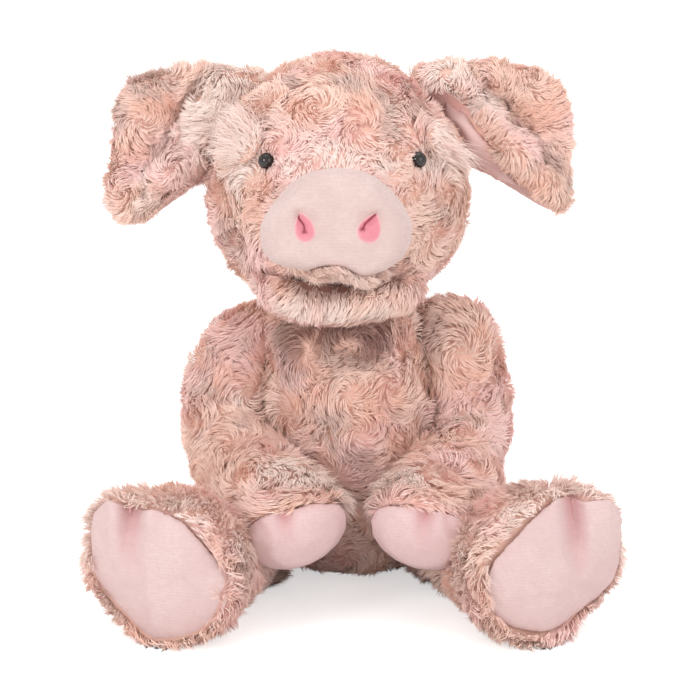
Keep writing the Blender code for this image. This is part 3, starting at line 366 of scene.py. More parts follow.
def grow_pile(name, form, count, seed, touching, length=PILE_LENGTH, width=PILE_WIDTH, spacing=SWIRL_SPACING,
              nap=(0, 0, -1), lean=LEAN_DEG, bare=(), short=(), long=(), comb=(), away=(), taupe=(), pale=(),
              blush=(), painted_shade=(), only=(), pull=0.4, loose=1.0, seam=SEAM_GAP, shortest=0.78, over=None, hidden=0.003):
    """The pile of one part: thousands of tapered tufts that lean out of its cloth in swirls and locks.

    bare spots grow none, and where only is given, nothing grows outside its spots. short and long spots
    grow half and half as much again. comb gives spots with a way to lie, and away gives spots that the
    pile runs out from. taupe, pale and blush are spots of colour, and the spots of painted shade darken the
    pile toward a deep rust brown where shade falls. The pile lies over the cloth of the part over, and
    doesn't grow where that lies hidden metres in front of it. The tufts come as one or more pieces.
    """
    dice = np.random.default_rng(seed)
    roots, normals = spots_on(form, count, dice)
    free = near(roots, bare) < 0.5
    if only:
        free &= near(roots, only) > 0.5
    behind = np.zeros(count, bool)
    for i in np.nonzero(free)[0]:
        spot = Vector(roots[i])
        place, side, _, gap = touching.find_nearest(spot, SEAM_REACH)
        if place is not None and (gap < seam or (spot - place).dot(side) < 0):
            free[i] = False
        if over and free[i]:
            place, side, _, gap = over.find_nearest(spot, SEAM_REACH)
            within = place is not None and (gap < seam or (spot - place).dot(side) < 0)
            front, side, _, gap = over.ray_cast(spot, Vector((0, -1, 0)))
            behind[i] = front is not None
            free[i] = not within and (front is None or (side.y > 0 and gap > hidden))
    roots, normals, behind = roots[free], normals[free], behind[free]
    heading, middle_gap, sign = pile_headings(roots, normals, dice, spacing, nap)
    for x, y, z, reach, way in comb:
        share = near(roots, [(x, y, z, reach)])[:, None]
        wanted = np.array(way, float)
        wanted = wanted - normals * (normals @ wanted)[:, None]
        heading = unit(heading * (1 - share) + unit(wanted) * share)
    for spot in away:
        share = near(roots, [spot])[:, None]
        wanted = roots - np.array(spot[:3]) * MM
        wanted = unit(wanted - normals * (wanted * normals).sum(1, keepdims=True))
        heading = unit(heading * (1 - share) + wanted * share)
    lead, wisp = members(roots, normals, dice, LOCK_TUFTS), members(roots, normals, dice, TUSSOCK_TUFTS)
    sway = np.radians(dice.normal(0, 12, len(roots))[lead] + dice.normal(0, 14, len(roots))[wisp]) * loose
    heading = unit(heading + dice.normal(0, 0.12, roots.shape))
    heading = unit(heading - normals * (heading * normals).sum(1, keepdims=True))
    heading = turned_about(heading, normals, sway)
    rise = np.clip(middle_gap / SWIRL_EYE, 0, 1) ** 1.3
    tilt = lean[0] + (lean[1] - lean[0]) * rise + dice.normal(0, 4, len(roots))
    tilt += dice.normal(0, 4, len(roots))[lead] + dice.normal(0, 7, len(roots))[wisp]
    tilt = np.radians(np.clip(tilt, 4, 76))
    reach = length * dice.uniform(shortest, 1.1, len(roots)) * dice.uniform(0.82, 1.16, len(roots))[lead]
    reach *= (0.8 + 0.2 * rise) * (1 - 0.5 * near(roots, short)) * (1 + 0.5 * near(roots, long))
    start = normals * np.cos(tilt)[:, None] + heading * np.sin(tilt)[:, None]
    bend = np.radians(dice.uniform(*CURL_DEG, len(roots)))
    onward = turned_about(heading, normals, sign * bend * 1.3)
    bent = np.minimum(tilt + bend, math.radians(86))
    end = normals * np.cos(bent)[:, None] + onward * np.sin(bent)[:, None]
    mids = roots + start * reach[:, None] * 0.52
    tips = mids + end * reach[:, None] * 0.5
    roots = roots - normals * 0.0005

    for leader, share in ((lead, pull), (wisp, pull * 0.3)):
        held = (dice.uniform(0.4, 1.0, len(roots)) * share)[:, None]
        tips += (tips[leader] - tips) * held
        mids += (mids[leader] - mids) * held * 0.36

    for spots in (mids, tips) if over else ():
        for i in np.nonzero(~behind)[0]:
            place, side, _, _ = over.find_nearest(Vector(spots[i]), 0.010)
            if place is not None and (Vector(spots[i]) - place).dot(side) < 0.0006:
                spots[i] = place + side * 0.0006

    for i in range(len(roots)):
        for cloth in (touching, over) if behind[i] else (touching,):
            chord = Vector(tips[i] - roots[i])
            far = chord.length
            hit = cloth.ray_cast(Vector(roots[i] + normals[i] * 0.0012), chord, far)[3]
            if hit is not None:
                share = max(0.3, (hit + 0.0012) / far)
                mids[i] = roots[i] + (mids[i] - roots[i]) * share
                tips[i] = roots[i] + (tips[i] - roots[i]) * share
    return strand_pieces(name, roots, mids, tips, normals, width, dice,
                         {"taupe": taupe, "pale": pale, "blush": blush, "painted_shade": painted_shade})


def strand_pieces(name, roots, mids, tips, normals, width, dice, spots):
    """Flat three-sided tufts, broad side outward, through their root, middle and tip, in pieces of a size that keeps well."""
    parts = max(1, math.ceil(len(roots) / STRANDS_A_PIECE))
    order = np.argsort(roots[:, 0]) if parts > 1 else np.arange(len(roots))
    made = []
    for part, rows in enumerate(np.array_split(order, parts)):
        count = len(rows)
        root, mid, tip, out = roots[rows], mids[rows], tips[rows], normals[rows]
        wide = width * dice.uniform(0.75, 1.2, count)[:, None] / 2
        points = np.empty((count, 5, 3))
        points[:, 0], points[:, 4] = root, tip
        way = unit(tip - root)
        across = unit(np.cross(way, out))
        deep = np.cross(way, across)
        for k, angle in enumerate((90, 210, 330)):
            spoke = across * math.cos(math.radians(angle)) + deep * math.sin(math.radians(angle)) * 0.6
            points[:, 1 + k] = mid + spoke * wide
        points[:, :, 2] = np.maximum(points[:, :, 2], FLOOR_GAP)
        faces = [(0, 1 + (k + 1) % 3, 1 + k) for k in range(3)] + [(1 + k, 1 + (k + 1) % 3, 4) for k in range(3)]
        facing = np.empty((count, 6, 3, 3))
        outward = unit(out - deep * 0.4)
        for k, side in enumerate((unit(deep * 0.5 - across), outward, unit(deep * 0.5 + across))):
            facing[:, k] = facing[:, k + 3] = side[:, None]
        for k, corner, lean in ((1, 1, 1), (1, 2, -1), (4, 0, -1), (4, 1, 1)):
            facing[:, k, corner] = unit(outward + across * lean * 0.35)
        cell_u = [[0.04, 0.5, 0.5]] * 3 + [[0.5, 0.5, 0.96]] * 3
        cell_v = [[0.5, 0.88, 0.12]] * 3 + [[0.12, 0.88, 0.5]] * 3
        faces = np.array(faces)
        piece_name = name if parts == 1 else name + "_" + str(part + 1)
        mesh = bpy.data.meshes.new(piece_name)
        corners = (faces[None] + (np.arange(count) * 5)[:, None, None]).reshape(-1).astype(np.int32)
        mesh.vertices.add(count * 5)
        mesh.vertices.foreach_set("co", points.ravel())
        mesh.loops.add(len(corners))
        mesh.loops.foreach_set("vertex_index", corners)
        mesh.polygons.add(len(corners) // 3)
        mesh.polygons.foreach_set("loop_start", np.arange(0, len(corners), 3, dtype=np.int32))
        mesh.update(calc_edges=True)
        mesh.polygons.foreach_set("use_smooth", np.ones(len(corners) // 3, bool))
        mesh.normals_split_custom_set(facing.reshape(-1, 3))

        grid = math.ceil(math.sqrt(count))
        column, row = np.arange(count) % grid, np.arange(count) // grid
        places = np.empty((count, len(faces), 3, 2))
        places[..., 0] = (column[:, None, None] + np.array(cell_u)[None]) / grid
        places[..., 1] = (row[:, None, None] + np.array(cell_v)[None]) / grid
        mesh.uv_layers.new(name="OFBake").data.foreach_set("uv", places.ravel())
        write(mesh, "along", np.tile([0, 0.5, 0.5, 0.5, 1], count))
        write(mesh, "strand", np.repeat(dice.random(count), 5))
        for kind, where in spots.items():
            edge = dice.uniform(0.75, 1.25, count)
            write(mesh, kind, np.repeat(np.clip(near(root, where) * edge, 0, 1), 5))
        piece = bpy.data.objects.new(piece_name, mesh)
        bpy.context.scene.collection.objects.link(piece)
        made.append(piece)
    return made


def write(mesh, name, values):
    """Keeps one number for each point of a mesh, for its material to read."""
    mesh.attributes.new(name, "FLOAT", "POINT").data.foreach_set("value", np.asarray(values, np.float32))


def dress(pieces, material, slot, body):
    """Gives each piece of a pile its colour and the body that it moves with."""
    for piece in pieces:
        wear(piece, material, slot, body)


def noise(tree, place, scale, detail, offset, low, high, loose=0.0):
    """Cloudy spots with soft edges: 0 below low, 1 above high. loose shifts the edge for single strands."""
    moved = add_node(tree, "ShaderNodeVectorMath", operation="ADD", links={0: place, 1: offset})
    clouds = add_node(tree, "ShaderNodeTexNoise",
                      links={"Vector": moved.outputs[0], "Scale": scale, "Detail": detail, "Distortion": 0.5})
    level = add_node(tree, "ShaderNodeMath", operation="ADD", links={0: clouds.outputs["Fac"], 1: loose}).outputs[0]
    return add_node(tree, "ShaderNodeMapRange", interpolation_type="SMOOTHSTEP",
                    links={0: level, 1: low, 2: high}).outputs[0]


def blend_of(tree, share, first, second, kind="MIX"):
    """Two colours mixed."""
    return add_node(tree, "ShaderNodeMixRGB", blend_type=kind, links={0: share, 1: first, 2: second}).outputs[0]


def sum_of(tree, first, second, operation="ADD"):
    """Two numbers put together, kept between 0 and 1."""
    return add_node(tree, "ShaderNodeMath", operation=operation, use_clamp=True, links={0: first, 1: second}).outputs[0]


def read(tree, name):
    """A number kept on the mesh."""
    return add_node(tree, "ShaderNodeAttribute", attribute_name=name).outputs["Fac"]


def pile_look(name, tips, roots, sheen, roughness):
    """Dyed pile: deep colour at the root, pale at the tip, mottled in clouds of three dyes."""
    material = bpy.data.materials.new(name)
    material.use_nodes = True
    tree = material.node_tree
    tree.nodes.clear()
    place = add_node(tree, "ShaderNodeTexCoord").outputs["Object"]
    strand = read(tree, "strand")
    loose = add_node(tree, "ShaderNodeMath", operation="MULTIPLY_ADD", links={0: strand, 1: 0.1, 2: -0.05}).outputs[0]
    clouds = noise(tree, place, 31.0, 2.0, (3.1, 0.7, 5.2), 0.60, 0.73, loose)
    taupe = sum_of(tree, sum_of(tree, clouds, 0.55, "MULTIPLY"), read(tree, "taupe"))
    pink = noise(tree, place, 20.0, 1.0, (0.4, 8.2, 1.9), 0.42, 0.60, loose)
    blush = sum_of(tree, noise(tree, place, 38.0, 2.0, (7.7, 2.6, 0.3), 0.57, 0.70, loose), read(tree, "blush"))
    tip = blend_of(tree, pink, tips["peach"], tips["pink"])
    tip = blend_of(tree, taupe, tip, tips["taupe"])
    tip = blend_of(tree, sum_of(tree, blush, 0.55, "MULTIPLY"), tip, tips["blush"])
    tip = blend_of(tree, read(tree, "pale"), tip, tips["pale"])
    root = blend_of(tree, pink, roots["peach"], roots["pink"])
    root = blend_of(tree, taupe, root, roots["taupe"])
    root = blend_of(tree, read(tree, "pale"), root, roots["pale"])
    along = add_node(tree, "ShaderNodeMapRange", interpolation_type="SMOOTHSTEP",
                     links={0: read(tree, "along"), 1: -0.25, 2: 0.6}).outputs[0]
    colour = blend_of(tree, along, root, tip)
    own = add_node(tree, "ShaderNodeUVMap", uv_map="OFBake").outputs[0]
    drawn = add_node(tree, "ShaderNodeVectorMath", operation="MULTIPLY", links={0: own, 1: (90, 900, 1)}).outputs[0]
    fibres = add_node(tree, "ShaderNodeTexNoise", noise_dimensions="2D",
                      links={"Vector": drawn, "Scale": 1.0, "Detail": 1.0}).outputs["Fac"]
    light = add_node(tree, "ShaderNodeMapRange", links={0: strand, 1: 0.0, 2: 1.0, 3: 0.95, 4: 1.03}).outputs[0]
    streak = add_node(tree, "ShaderNodeMapRange", links={0: fibres, 1: 0.25, 2: 0.75, 3: 0.96, 4: 1.03}).outputs[0]
    light = add_node(tree, "ShaderNodeMath", operation="MULTIPLY", links={0: light, 1: streak}).outputs[0]
    colour = blend_of(tree, 1.0, colour, light, "MULTIPLY")
    # Painted shade: the shade spots mix the pile toward a deep rust brown where shade falls, under the head, in creases
    # and seams, and in the mouth's fold.
    colour = blend_of(tree, sum_of(tree, read(tree, "painted_shade"), 0.85, "MULTIPLY"), colour, shade(104, 54, 42))
    shader = add_node(tree, "ShaderNodeBsdfPrincipled",
                      links={"Base Color": colour, "Roughness": roughness, "Specular IOR Level": 0.25,
                             "Sheen Weight": sheen, "Sheen Roughness": 0.45, "Sheen Tint": (1.0, 0.82, 0.75, 1.0)})
    add_node(tree, "ShaderNodeOutputMaterial", links={"Surface": shader.outputs[0]})
    return material


rose_plush = pile_look(
    "rose_swirl_plush",
    tips={"peach": shade(254, 222, 208), "pink": shade(254, 218, 212), "taupe": shade(222, 192, 182),
          "blush": shade(246, 192, 170), "pale": shade(254, 236, 228)},
    roots={"peach": shade(249, 201, 183), "pink": shade(249, 202, 193), "taupe": shade(202, 168, 156),
           "pale": shade(252, 226, 215)},
    sheen=1.0, roughness=0.9)

TORSO_STRANDS = 43000
torso = stuffed("torso_form", ("torso_skin", "torso_filling", "seat_bean_pouch"), PLUSH_CELL, 8)
sink(torso)
rest_on_floor(torso)
wear(torso, rose_plush, "rose_plush", "torso", "torso_skin", "torso_filling", "seat_bean_pouch")
body_pile = grow_pile(
    "torso_pile", torso, TORSO_STRANDS, 11,
    against("head_skin", "lower_jaw", "neck_filling", "right_arm_skin", "left_arm_skin", "right_leg_skin",
            "left_leg_skin", "tail"),
    taupe=[(-15, -54, 98, 14), (-14, -50, 60, 10), (36, -42, 147, 16), (-40, -44, 120, 12)],
    blush=[(-21, -54, 120, 12), (18, -54, 111, 14), (9, -54, 95, 12), (-24, -50, 138, 12)],
    # Painted shade: dark on the chest under the head and jaw, and lighter on the belly beside the arms.
    painted_shade=[(-30, -46, 148, 24, 0.85), (-14, -50, 145, 23, 0.85), (4, -50, 147, 24, 0.85), (35, -38, 163, 18, 0.85),
          (36, -42, 148, 16, 0.45), (-10, -52, 128, 12, 0.3), (-3, -52, 77, 11, 0.45), (-36, -44, 130, 9, 0.35), (20, -50, 100, 8, 0.3),
          (-20, -50, 70, 9, 0.3)])
dress(body_pile, rose_plush, "rose_plush", "torso")

# The neck: a plug of the same fibre under plush, that the head turns and nods on.
# It is hidden between body and head, and shows only when the head is nodded back.
neck = stuffed("neck_form", ("neck_filling",), PLUSH_CELL, 6)
wear(neck, rose_plush, "rose_plush", "neck", "neck_filling")

# The head: a ball of the same plush with full cheeks round the snout, firmly stuffed.
# The pile runs back from the snout and the eyes, and a pale brow rolls over the snout.
HEAD_STRANDS = 60000
MOUTH = [(-33, -83, 185, 6), (-24, -87, 183, 7), (-15, -89, 182, 7), (-5, -90, 182, 7), (5, -88, 183, 7),
         (14, -84, 185, 7), (22, -79, 188, 7), (30, -75, 193, 6), (-10, -84, 189, 12), (8, -82, 190, 10)]
EAR_SEAM = [(39.5, -18, 274), (43.5, -18, 270), (46, -20, 263), (50, -22, 254)]
head = stuffed("head_form", ("head_skin", "head_filling"), PLUSH_CELL, 8)
sink(head)
wear(head, rose_plush, "rose_plush", "head", "head_skin", "head_filling")
head_pile = grow_pile(
    "head_pile", head, HEAD_STRANDS, 21,
    against("snout", "lower_jaw", "torso_skin", "neck_filling", "right_ear", "left_ear"),
    length=0.0102,
    bare=[(-47.2, -75.5, 243.6, 5.1), (35.2, -71.2, 243.6, 5.1)] + MOUTH,
    short=[(-10, -92, 246, 26), (-40, -90, 235, 18), (24, -88, 235, 18), (-47, -75, 245, 15), (35, -71, 245, 15),
           (-42, -90, 205, 18), (24, -90, 205, 18), (43, -22, 266, 10), (47, -24, 257, 10)],
    comb=[(-10, -92, 250, 16, (0, 0.3, 1)), (-38, -88, 242, 12, (-0.6, 0.3, 0.8)), (20, -88, 242, 12, (0.6, 0.3, 0.8)),
          (-48, -82, 215, 16, (-1, 0.6, -0.2)), (31, -82, 215, 16, (1, 0.6, -0.2)),
          (-40, -80, 198, 14, (-1, 0.4, -0.8)), (22, -80, 198, 14, (1, 0.4, -0.8)),
          (-43, -78, 250, 6, (-0.7, 0, -1)), (31, -74, 250, 6, (0.7, 0, -1))],
    taupe=[(0, -62, 280, 12), (20, -60, 272, 12), (24, -70, 260, 9), (48, -62, 213, 10), (-62, -55, 200, 12),
           (-30, -52, 284, 9)],
    pale=[(-10, -92, 250, 20), (-34, -88, 246, 12), (16, -86, 247, 12), (46, -64, 240, 16), (-58, -64, 240, 16)],
    blush=[(-50, -78, 222, 14), (-28, -66, 274, 10), (6, -70, 268, 10)],
    # The mouth's fold is darkened: the pile there is darker, and painted shade deepens it. The left ear's seam gets
    # painted shade.
    painted_shade=MOUTH + trail(EAR_SEAM, 5.0, 0.8))
# The cloth in the mouth's fold gets the same painted shade.
write(head.data, "painted_shade", near(vertices_of(head), MOUTH))
dress(head_pile, rose_plush, "rose_plush", "head")

# The snout: a stuffed cushion of pale velour, wider below and drawn in at its lower middle,
# sewn to the face. Its nap is short, with a faint knitted rib across.
SNOUT_CELL = 0.0014


def velour_look(name, base, deep, fold, rib, sheen, edge=None):
    """Short-napped knitted velour: a soft even colour, a faint rib, and painted shade in its creases."""
    material = bpy.data.materials.new(name)
    material.use_nodes = True
    tree = material.node_tree
    tree.nodes.clear()
    place = add_node(tree, "ShaderNodeTexCoord").outputs["Object"]
    soft = noise(tree, place, 60.0, 3.0, (2.2, 4.1, 0.9), 0.35, 0.72)
    nap = noise(tree, place, 420.0, 4.0, (0.2, 1.1, 6.9), 0.38, 0.66)
    fibres = add_node(tree, "ShaderNodeTexNoise", links={"Vector": place, "Scale": 1800.0, "Detail": 3.0})
    ribs = add_node(tree, "ShaderNodeTexWave", wave_type="BANDS", bands_direction="Z",
                    links={"Vector": place, "Scale": rib, "Distortion": 5.0, "Detail": 3.0, "Detail Scale": 1.4})
    colour = blend_of(tree, sum_of(tree, soft, 0.45, "MULTIPLY"), base, deep)
    colour = blend_of(tree, sum_of(tree, nap, 0.30, "MULTIPLY"), colour, deep)
    colour = blend_of(tree, sum_of(tree, ribs.outputs["Fac"], 0.20, "MULTIPLY"), colour, deep)
    colour = blend_of(tree, sum_of(tree, fibres.outputs["Fac"], 0.35, "MULTIPLY"), colour, deep)
    if edge:
        colour = blend_of(tree, read(tree, "rim"), colour, edge)
    # Painted shade where press has drawn a crease in.
    colour = blend_of(tree, read(tree, "fold"), colour, fold)
    height = sum_of(tree, sum_of(tree, ribs.outputs["Fac"], 0.4, "MULTIPLY"),
                    sum_of(tree, fibres.outputs["Fac"], 0.6, "MULTIPLY"))
    bump = add_node(tree, "ShaderNodeBump", links={"Strength": 0.35, "Distance": 0.0004, "Height": height})
    shader = add_node(tree, "ShaderNodeBsdfPrincipled",
                      links={"Base Color": colour, "Roughness": 0.92, "Specular IOR Level": 0.15,
                             "Sheen Weight": sheen, "Sheen Roughness": 0.4, "Sheen Tint": (1.0, 0.94, 0.93, 1.0),
                             "Normal": bump.outputs[0]})
    add_node(tree, "ShaderNodeOutputMaterial", links={"Surface": shader.outputs[0]})
    return material


def press(form, start, end, depth, width, into, fade=0.75, shade_mark=0.8, through=False):
    """Presses a groove into a form along a line in mm, as a drawn thread or a finger does, and paints shade into it."""
    places = vertices_of(form)
    normals = np.empty(len(places) * 3)
    form.data.vertex_normals.foreach_get("vector", normals)
    normals = normals.reshape(-1, 3)
    start, end, into = np.array(start) * MM, np.array(end) * MM, np.array(into, float)
    into /= np.linalg.norm(into)
    line = end - start
    share = np.clip(((places - start) @ line) / (line @ line), 0, 1)
    gap = places - (start + share[:, None] * line)
    gap -= np.outer(gap @ into, into)
    weight = np.exp(-(np.linalg.norm(gap, axis=1) / (width * MM)) ** 2)
    weight *= 1 - fade * share
    if not through:
        weight *= normals @ into < 0.15
    places += into * (weight * depth * MM)[:, None]
    form.data.vertices.foreach_set("co", places.ravel())
    form.data.update()
    fold = form.data.attributes.get("fold")
    marks = np.zeros(len(places), np.float32)
    if fold is None:
        fold = form.data.attributes.new("fold", "FLOAT", "POINT")
    else:
        fold.data.foreach_get("value", marks)
    fold.data.foreach_set("value", np.maximum(marks, np.clip(weight * shade_mark, 0, 1)).astype(np.float32))


# The third colour is painted shade for the hollows round the nostrils.
snout_velour = velour_look(
    "snout_velour", shade(226, 205, 200), shade(207, 179, 175), shade(200, 146, 142), 170.0, 0.3)
snout = stuffed("snout_form", ("snout", "snout_filling"), SNOUT_CELL, 14)
grab(snout, (-9, -118, 189), 18, (0, 1.0, 4.4))
grab(snout, (16, -118, 189), 17, (0, -0.5, 1.6))
grab(snout, (-26, -118, 190), 22, (-0.5, -0.5, 4.6))
grab(snout, (-42, -118, 238), 20, (4.5, 0, -0.5))
grab(snout, (26, -118, 238), 20, (-3.5, 0, -0.5))
grab(snout, (-46, -112, 206), 24, (-1.8, 0, -1.5))
wear(snout, snout_velour, "pale_velour", "head", "snout", "snout_filling")
LIP_STRANDS = 170000
lip_pile = grow_pile(
    "lip_pile", snout, LIP_STRANDS, 25, against("lower_jaw"), length=0.0084, nap=(0, -0.2, -1), seam=0.0003,
    width=0.0006, lean=(5, 45), pull=0.1, loose=1.8, shortest=0.55, pale=[(0, -108, 192, 34, 0.6)],
    only=[(-16, -114, 194, 9), (-8, -116, 195, 10), (4, -114, 192, 10), (-14, -104, 191, 13), (-2, -104, 190, 14),
          (9, -102, 189, 9)],
    comb=[(-2, -108, 190, 30, (0.25, -0.5, -1))], blush=[(-9, -108, 194, 8)])
dress(lip_pile, rose_plush, "rose_plush", "head")

# The nostrils: two drops of deeper pink velour, each drawn into a slit by a knotted thread.
# They lean outward at the top.
NOSTRILS = {
    "right": {"middle": (-25.6, 218.0), "half": (5.2, 7.9), "lean": -14,
              "slit": ((-29.0, 225.2), (-28.2, 222.0), (-25.8, 219.0), (-25.4, 215.4))},
    "left": {"middle": (8.4, 217.6), "half": (6.0, 8.0), "lean": 24,
             "slit": ((11.6, 224.8), (8.8, 222.2), (5.8, 219.6), (4.4, 216.8))},
}
# The third colour is painted shade for the slits.
nostril_pink = velour_look(
    "nostril_velour", shade(232, 156, 165), shade(218, 132, 146), shade(138, 58, 74), 170.0, 0.05,
    edge=shade(240, 206, 203))
for side, nostril in NOSTRILS.items():
    (middle_x, middle_z), (half_x, half_z) = nostril["middle"], nostril["half"]
    slit = [(x, -126, z) for x, z in nostril["slit"]]
    # Each nostril sits in a hollow with painted shade round it.
    press(snout, (middle_x, -126, middle_z + 3), (middle_x, -126, middle_z - 3), 2.0, 6.5, (0, 1, 0), shade_mark=0.35)
    press(snout, slit[0], slit[-1], 2.4, 1.8, (0, 1, 0), fade=0.0, shade_mark=0.0)
    skin = BVHTree.FromObject(snout, bpy.context.evaluated_depsgraph_get())
    bpy.ops.object.select_all(action="DESELECT")
    bpy.ops.mesh.primitive_uv_sphere_add(segments=48, ring_count=32, radius=1)
    patch = bpy.context.object
    patch.name = side + "_nostril_patch"
    patch.data.name = patch.name
    lean = math.radians(nostril["lean"])
    rim = []
    for point in patch.data.vertices:
        rim.append(max(0.0, min(1.0, 1 - abs(point.co.y) * 1.5)))
        wide = (1 - 0.3 * point.co.z) * (1 - 0.3 * max(point.co.z, 0) ** 2)
        x, z = point.co.x * half_x * wide, point.co.z * half_z
        across, up = x * math.cos(lean) + z * math.sin(lean), z * math.cos(lean) - x * math.sin(lean)
        across, up = (middle_x + across) * MM, (middle_z + up) * MM
        front = skin.ray_cast(Vector((across, -0.2, up)), Vector((0, 1, 0)))[0]
        lift = 0.0014 * abs(point.co.y) ** 0.5 - 0.0005 if point.co.y < 0 else -0.0012
        point.co = Vector((across, front.y - lift * min(1, abs(point.co.y) * 2.2), up))
    write(patch.data, "rim", rim)
    # Painted shade along each slit and at its knot.
    for first, last in zip(slit, slit[1:]):
        press(patch, first, last, 0.35, 0.5, (0, 1, 0), fade=0.0, shade_mark=1.2)
    press(patch, (slit[-1][0] - 0.7, -126, slit[-1][2]), (slit[-1][0] + 0.7, -126, slit[-1][2]), 0.3, 0.6, (0, 1, 0),
          fade=0.0, shade_mark=1.0)
    alone(patch)
    bpy.ops.object.shade_smooth()
    wear(patch, nostril_pink, "pink_embroidery", "head", side + "_nostril")

# The lower jaw: a small plush cushion under the mouth, with the mouth's fold above it, where darker pile is
# deepened with painted shade. Its pile hangs down and out like a short beard.
JAW_STRANDS = 12000
MOUTH_FOLD = [(-33, -83, 183, 6), (-24, -86, 181.5, 8), (-15, -87, 180.5, 8.5), (-5, -88, 180.5, 7.5),
              (5, -87, 181, 7), (14, -83, 182.5, 7), (22, -78, 185, 7)]
jaw = stuffed("jaw_form", ("lower_jaw", "jaw_filling"), 0.0020, 8)
sink(jaw)
press(jaw, (-24, -88, 181), (14, -86, 182.0), 4.5, 3.0, (0, 1, 0.1), fade=0.2, shade_mark=0.0)
wear(jaw, rose_plush, "rose_plush", "head", "lower_jaw", "jaw_filling")
jaw_pile = grow_pile(
    "jaw_pile", jaw, JAW_STRANDS, 31, against("head_skin", "snout", "torso_skin"), length=0.0098, nap=(0, -0.3, -1),
    comb=[(-9, -86, 174, 60, (0, -0.3, -1)), (-40, -74, 172, 18, (-0.5, 0, -0.9)), (24, -72, 172, 18, (0.5, 0, -0.9))],
    pale=[(-9, -90, 163, 16, 0.9), (14, -84, 164, 13, 0.9), (-30, -82, 168, 12, 0.8)],
    bare=[(x, y, z + 1, reach * 0.75) for x, y, z, reach in MOUTH_FOLD],
    short=[(x, y, z, reach * 1.3) for x, y, z, reach in MOUTH_FOLD],
    # Painted shade on the pile along the mouth's fold.
    painted_shade=[(x, y, z + 1, reach * 1.15, 0.85) for x, y, z, reach in MOUTH_FOLD])
# The cloth along the mouth's fold gets painted shade too.
write(jaw.data, "painted_shade", near(vertices_of(jaw), [(x, y, z, 13) for x, y, z, _ in MOUTH_FOLD]))
dress(jaw_pile, rose_plush, "rose_plush", "head")

# The eyes: black safety eyes pressed through the cloth, each held inside by a white lock washer.
# The pile closes round them, so only the middle of each dome shows.
EYES = {"right": {"middle": (-46.6, -74.2, 244.7), "out": (-0.58, -0.73, 0.34)},
        "left": {"middle": (34.6, -70.0, 244.7), "out": (0.64, -0.70, 0.32)}}
EYE_DOME = (0.0045, 0.0041)
eye_look = bpy.data.materials.new("black_eye_plastic")
eye_look.use_nodes = True
tree = eye_look.node_tree
tree.nodes.clear()
place = add_node(tree, "ShaderNodeTexCoord").outputs["Object"]
clouds = noise(tree, place, 240.0, 2.0, (1.0, 2.0, 3.0), 0.3, 0.8)
eye_colour = blend_of(tree, clouds, (0.012, 0.009, 0.008, 1), (0.022, 0.016, 0.013, 1))
eye_shader = add_node(tree, "ShaderNodeBsdfPrincipled",
                      links={"Base Color": eye_colour, "Roughness": 0.06, "Specular IOR Level": 0.5})
add_node(tree, "ShaderNodeOutputMaterial", links={"Surface": eye_shader.outputs[0]})
nylon_look = bpy.data.materials.new("white_nylon")
nylon_look.use_nodes = True
tree = nylon_look.node_tree
tree.nodes.clear()
place = add_node(tree, "ShaderNodeTexCoord").outputs["Object"]
clouds = noise(tree, place, 500.0, 2.0, (1.0, 0.0, 3.0), 0.3, 0.7)
nylon_colour = blend_of(tree, clouds, (0.82, 0.82, 0.79, 1), (0.88, 0.88, 0.85, 1))
nylon_shader = add_node(tree, "ShaderNodeBsdfPrincipled", links={"Base Color": nylon_colour, "Roughness": 0.5})
add_node(tree, "ShaderNodeOutputMaterial", links={"Surface": nylon_shader.outputs[0]})
for side, eye in EYES.items():
    bpy.ops.object.select_all(action="DESELECT")
    bpy.ops.mesh.primitive_uv_sphere_add(segments=32, ring_count=20, radius=EYE_DOME[0])
    ball = bpy.context.object
    ball.name = side + "_eye_dome"
    ball.data.name = ball.name
    bpy.ops.object.mode_set(mode="EDIT")
    bpy.ops.mesh.select_all(action="SELECT")
    bpy.ops.mesh.bisect(plane_co=(0, 0, -0.0012), plane_no=(0, 0, 1), clear_inner=True, use_fill=True)
    bpy.ops.object.mode_set(mode="OBJECT")
    turn = Vector((0, 0, 1)).rotation_difference(Vector(eye["out"]).normalized()).to_matrix()
    for point in ball.data.vertices:
        point.co.z *= EYE_DOME[1] / EYE_DOME[0]
        point.co = turn @ point.co + Vector(eye["middle"]) * MM
    alone(ball)
    bpy.ops.object.shade_smooth_by_angle(angle=math.radians(40))
    wear(ball, eye_look, "black_plastic", "head", side + "_eye")
    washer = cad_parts[side + "_eye_washer"]
    washer.data.materials.clear()
    washer.data.materials.append(nylon_look)

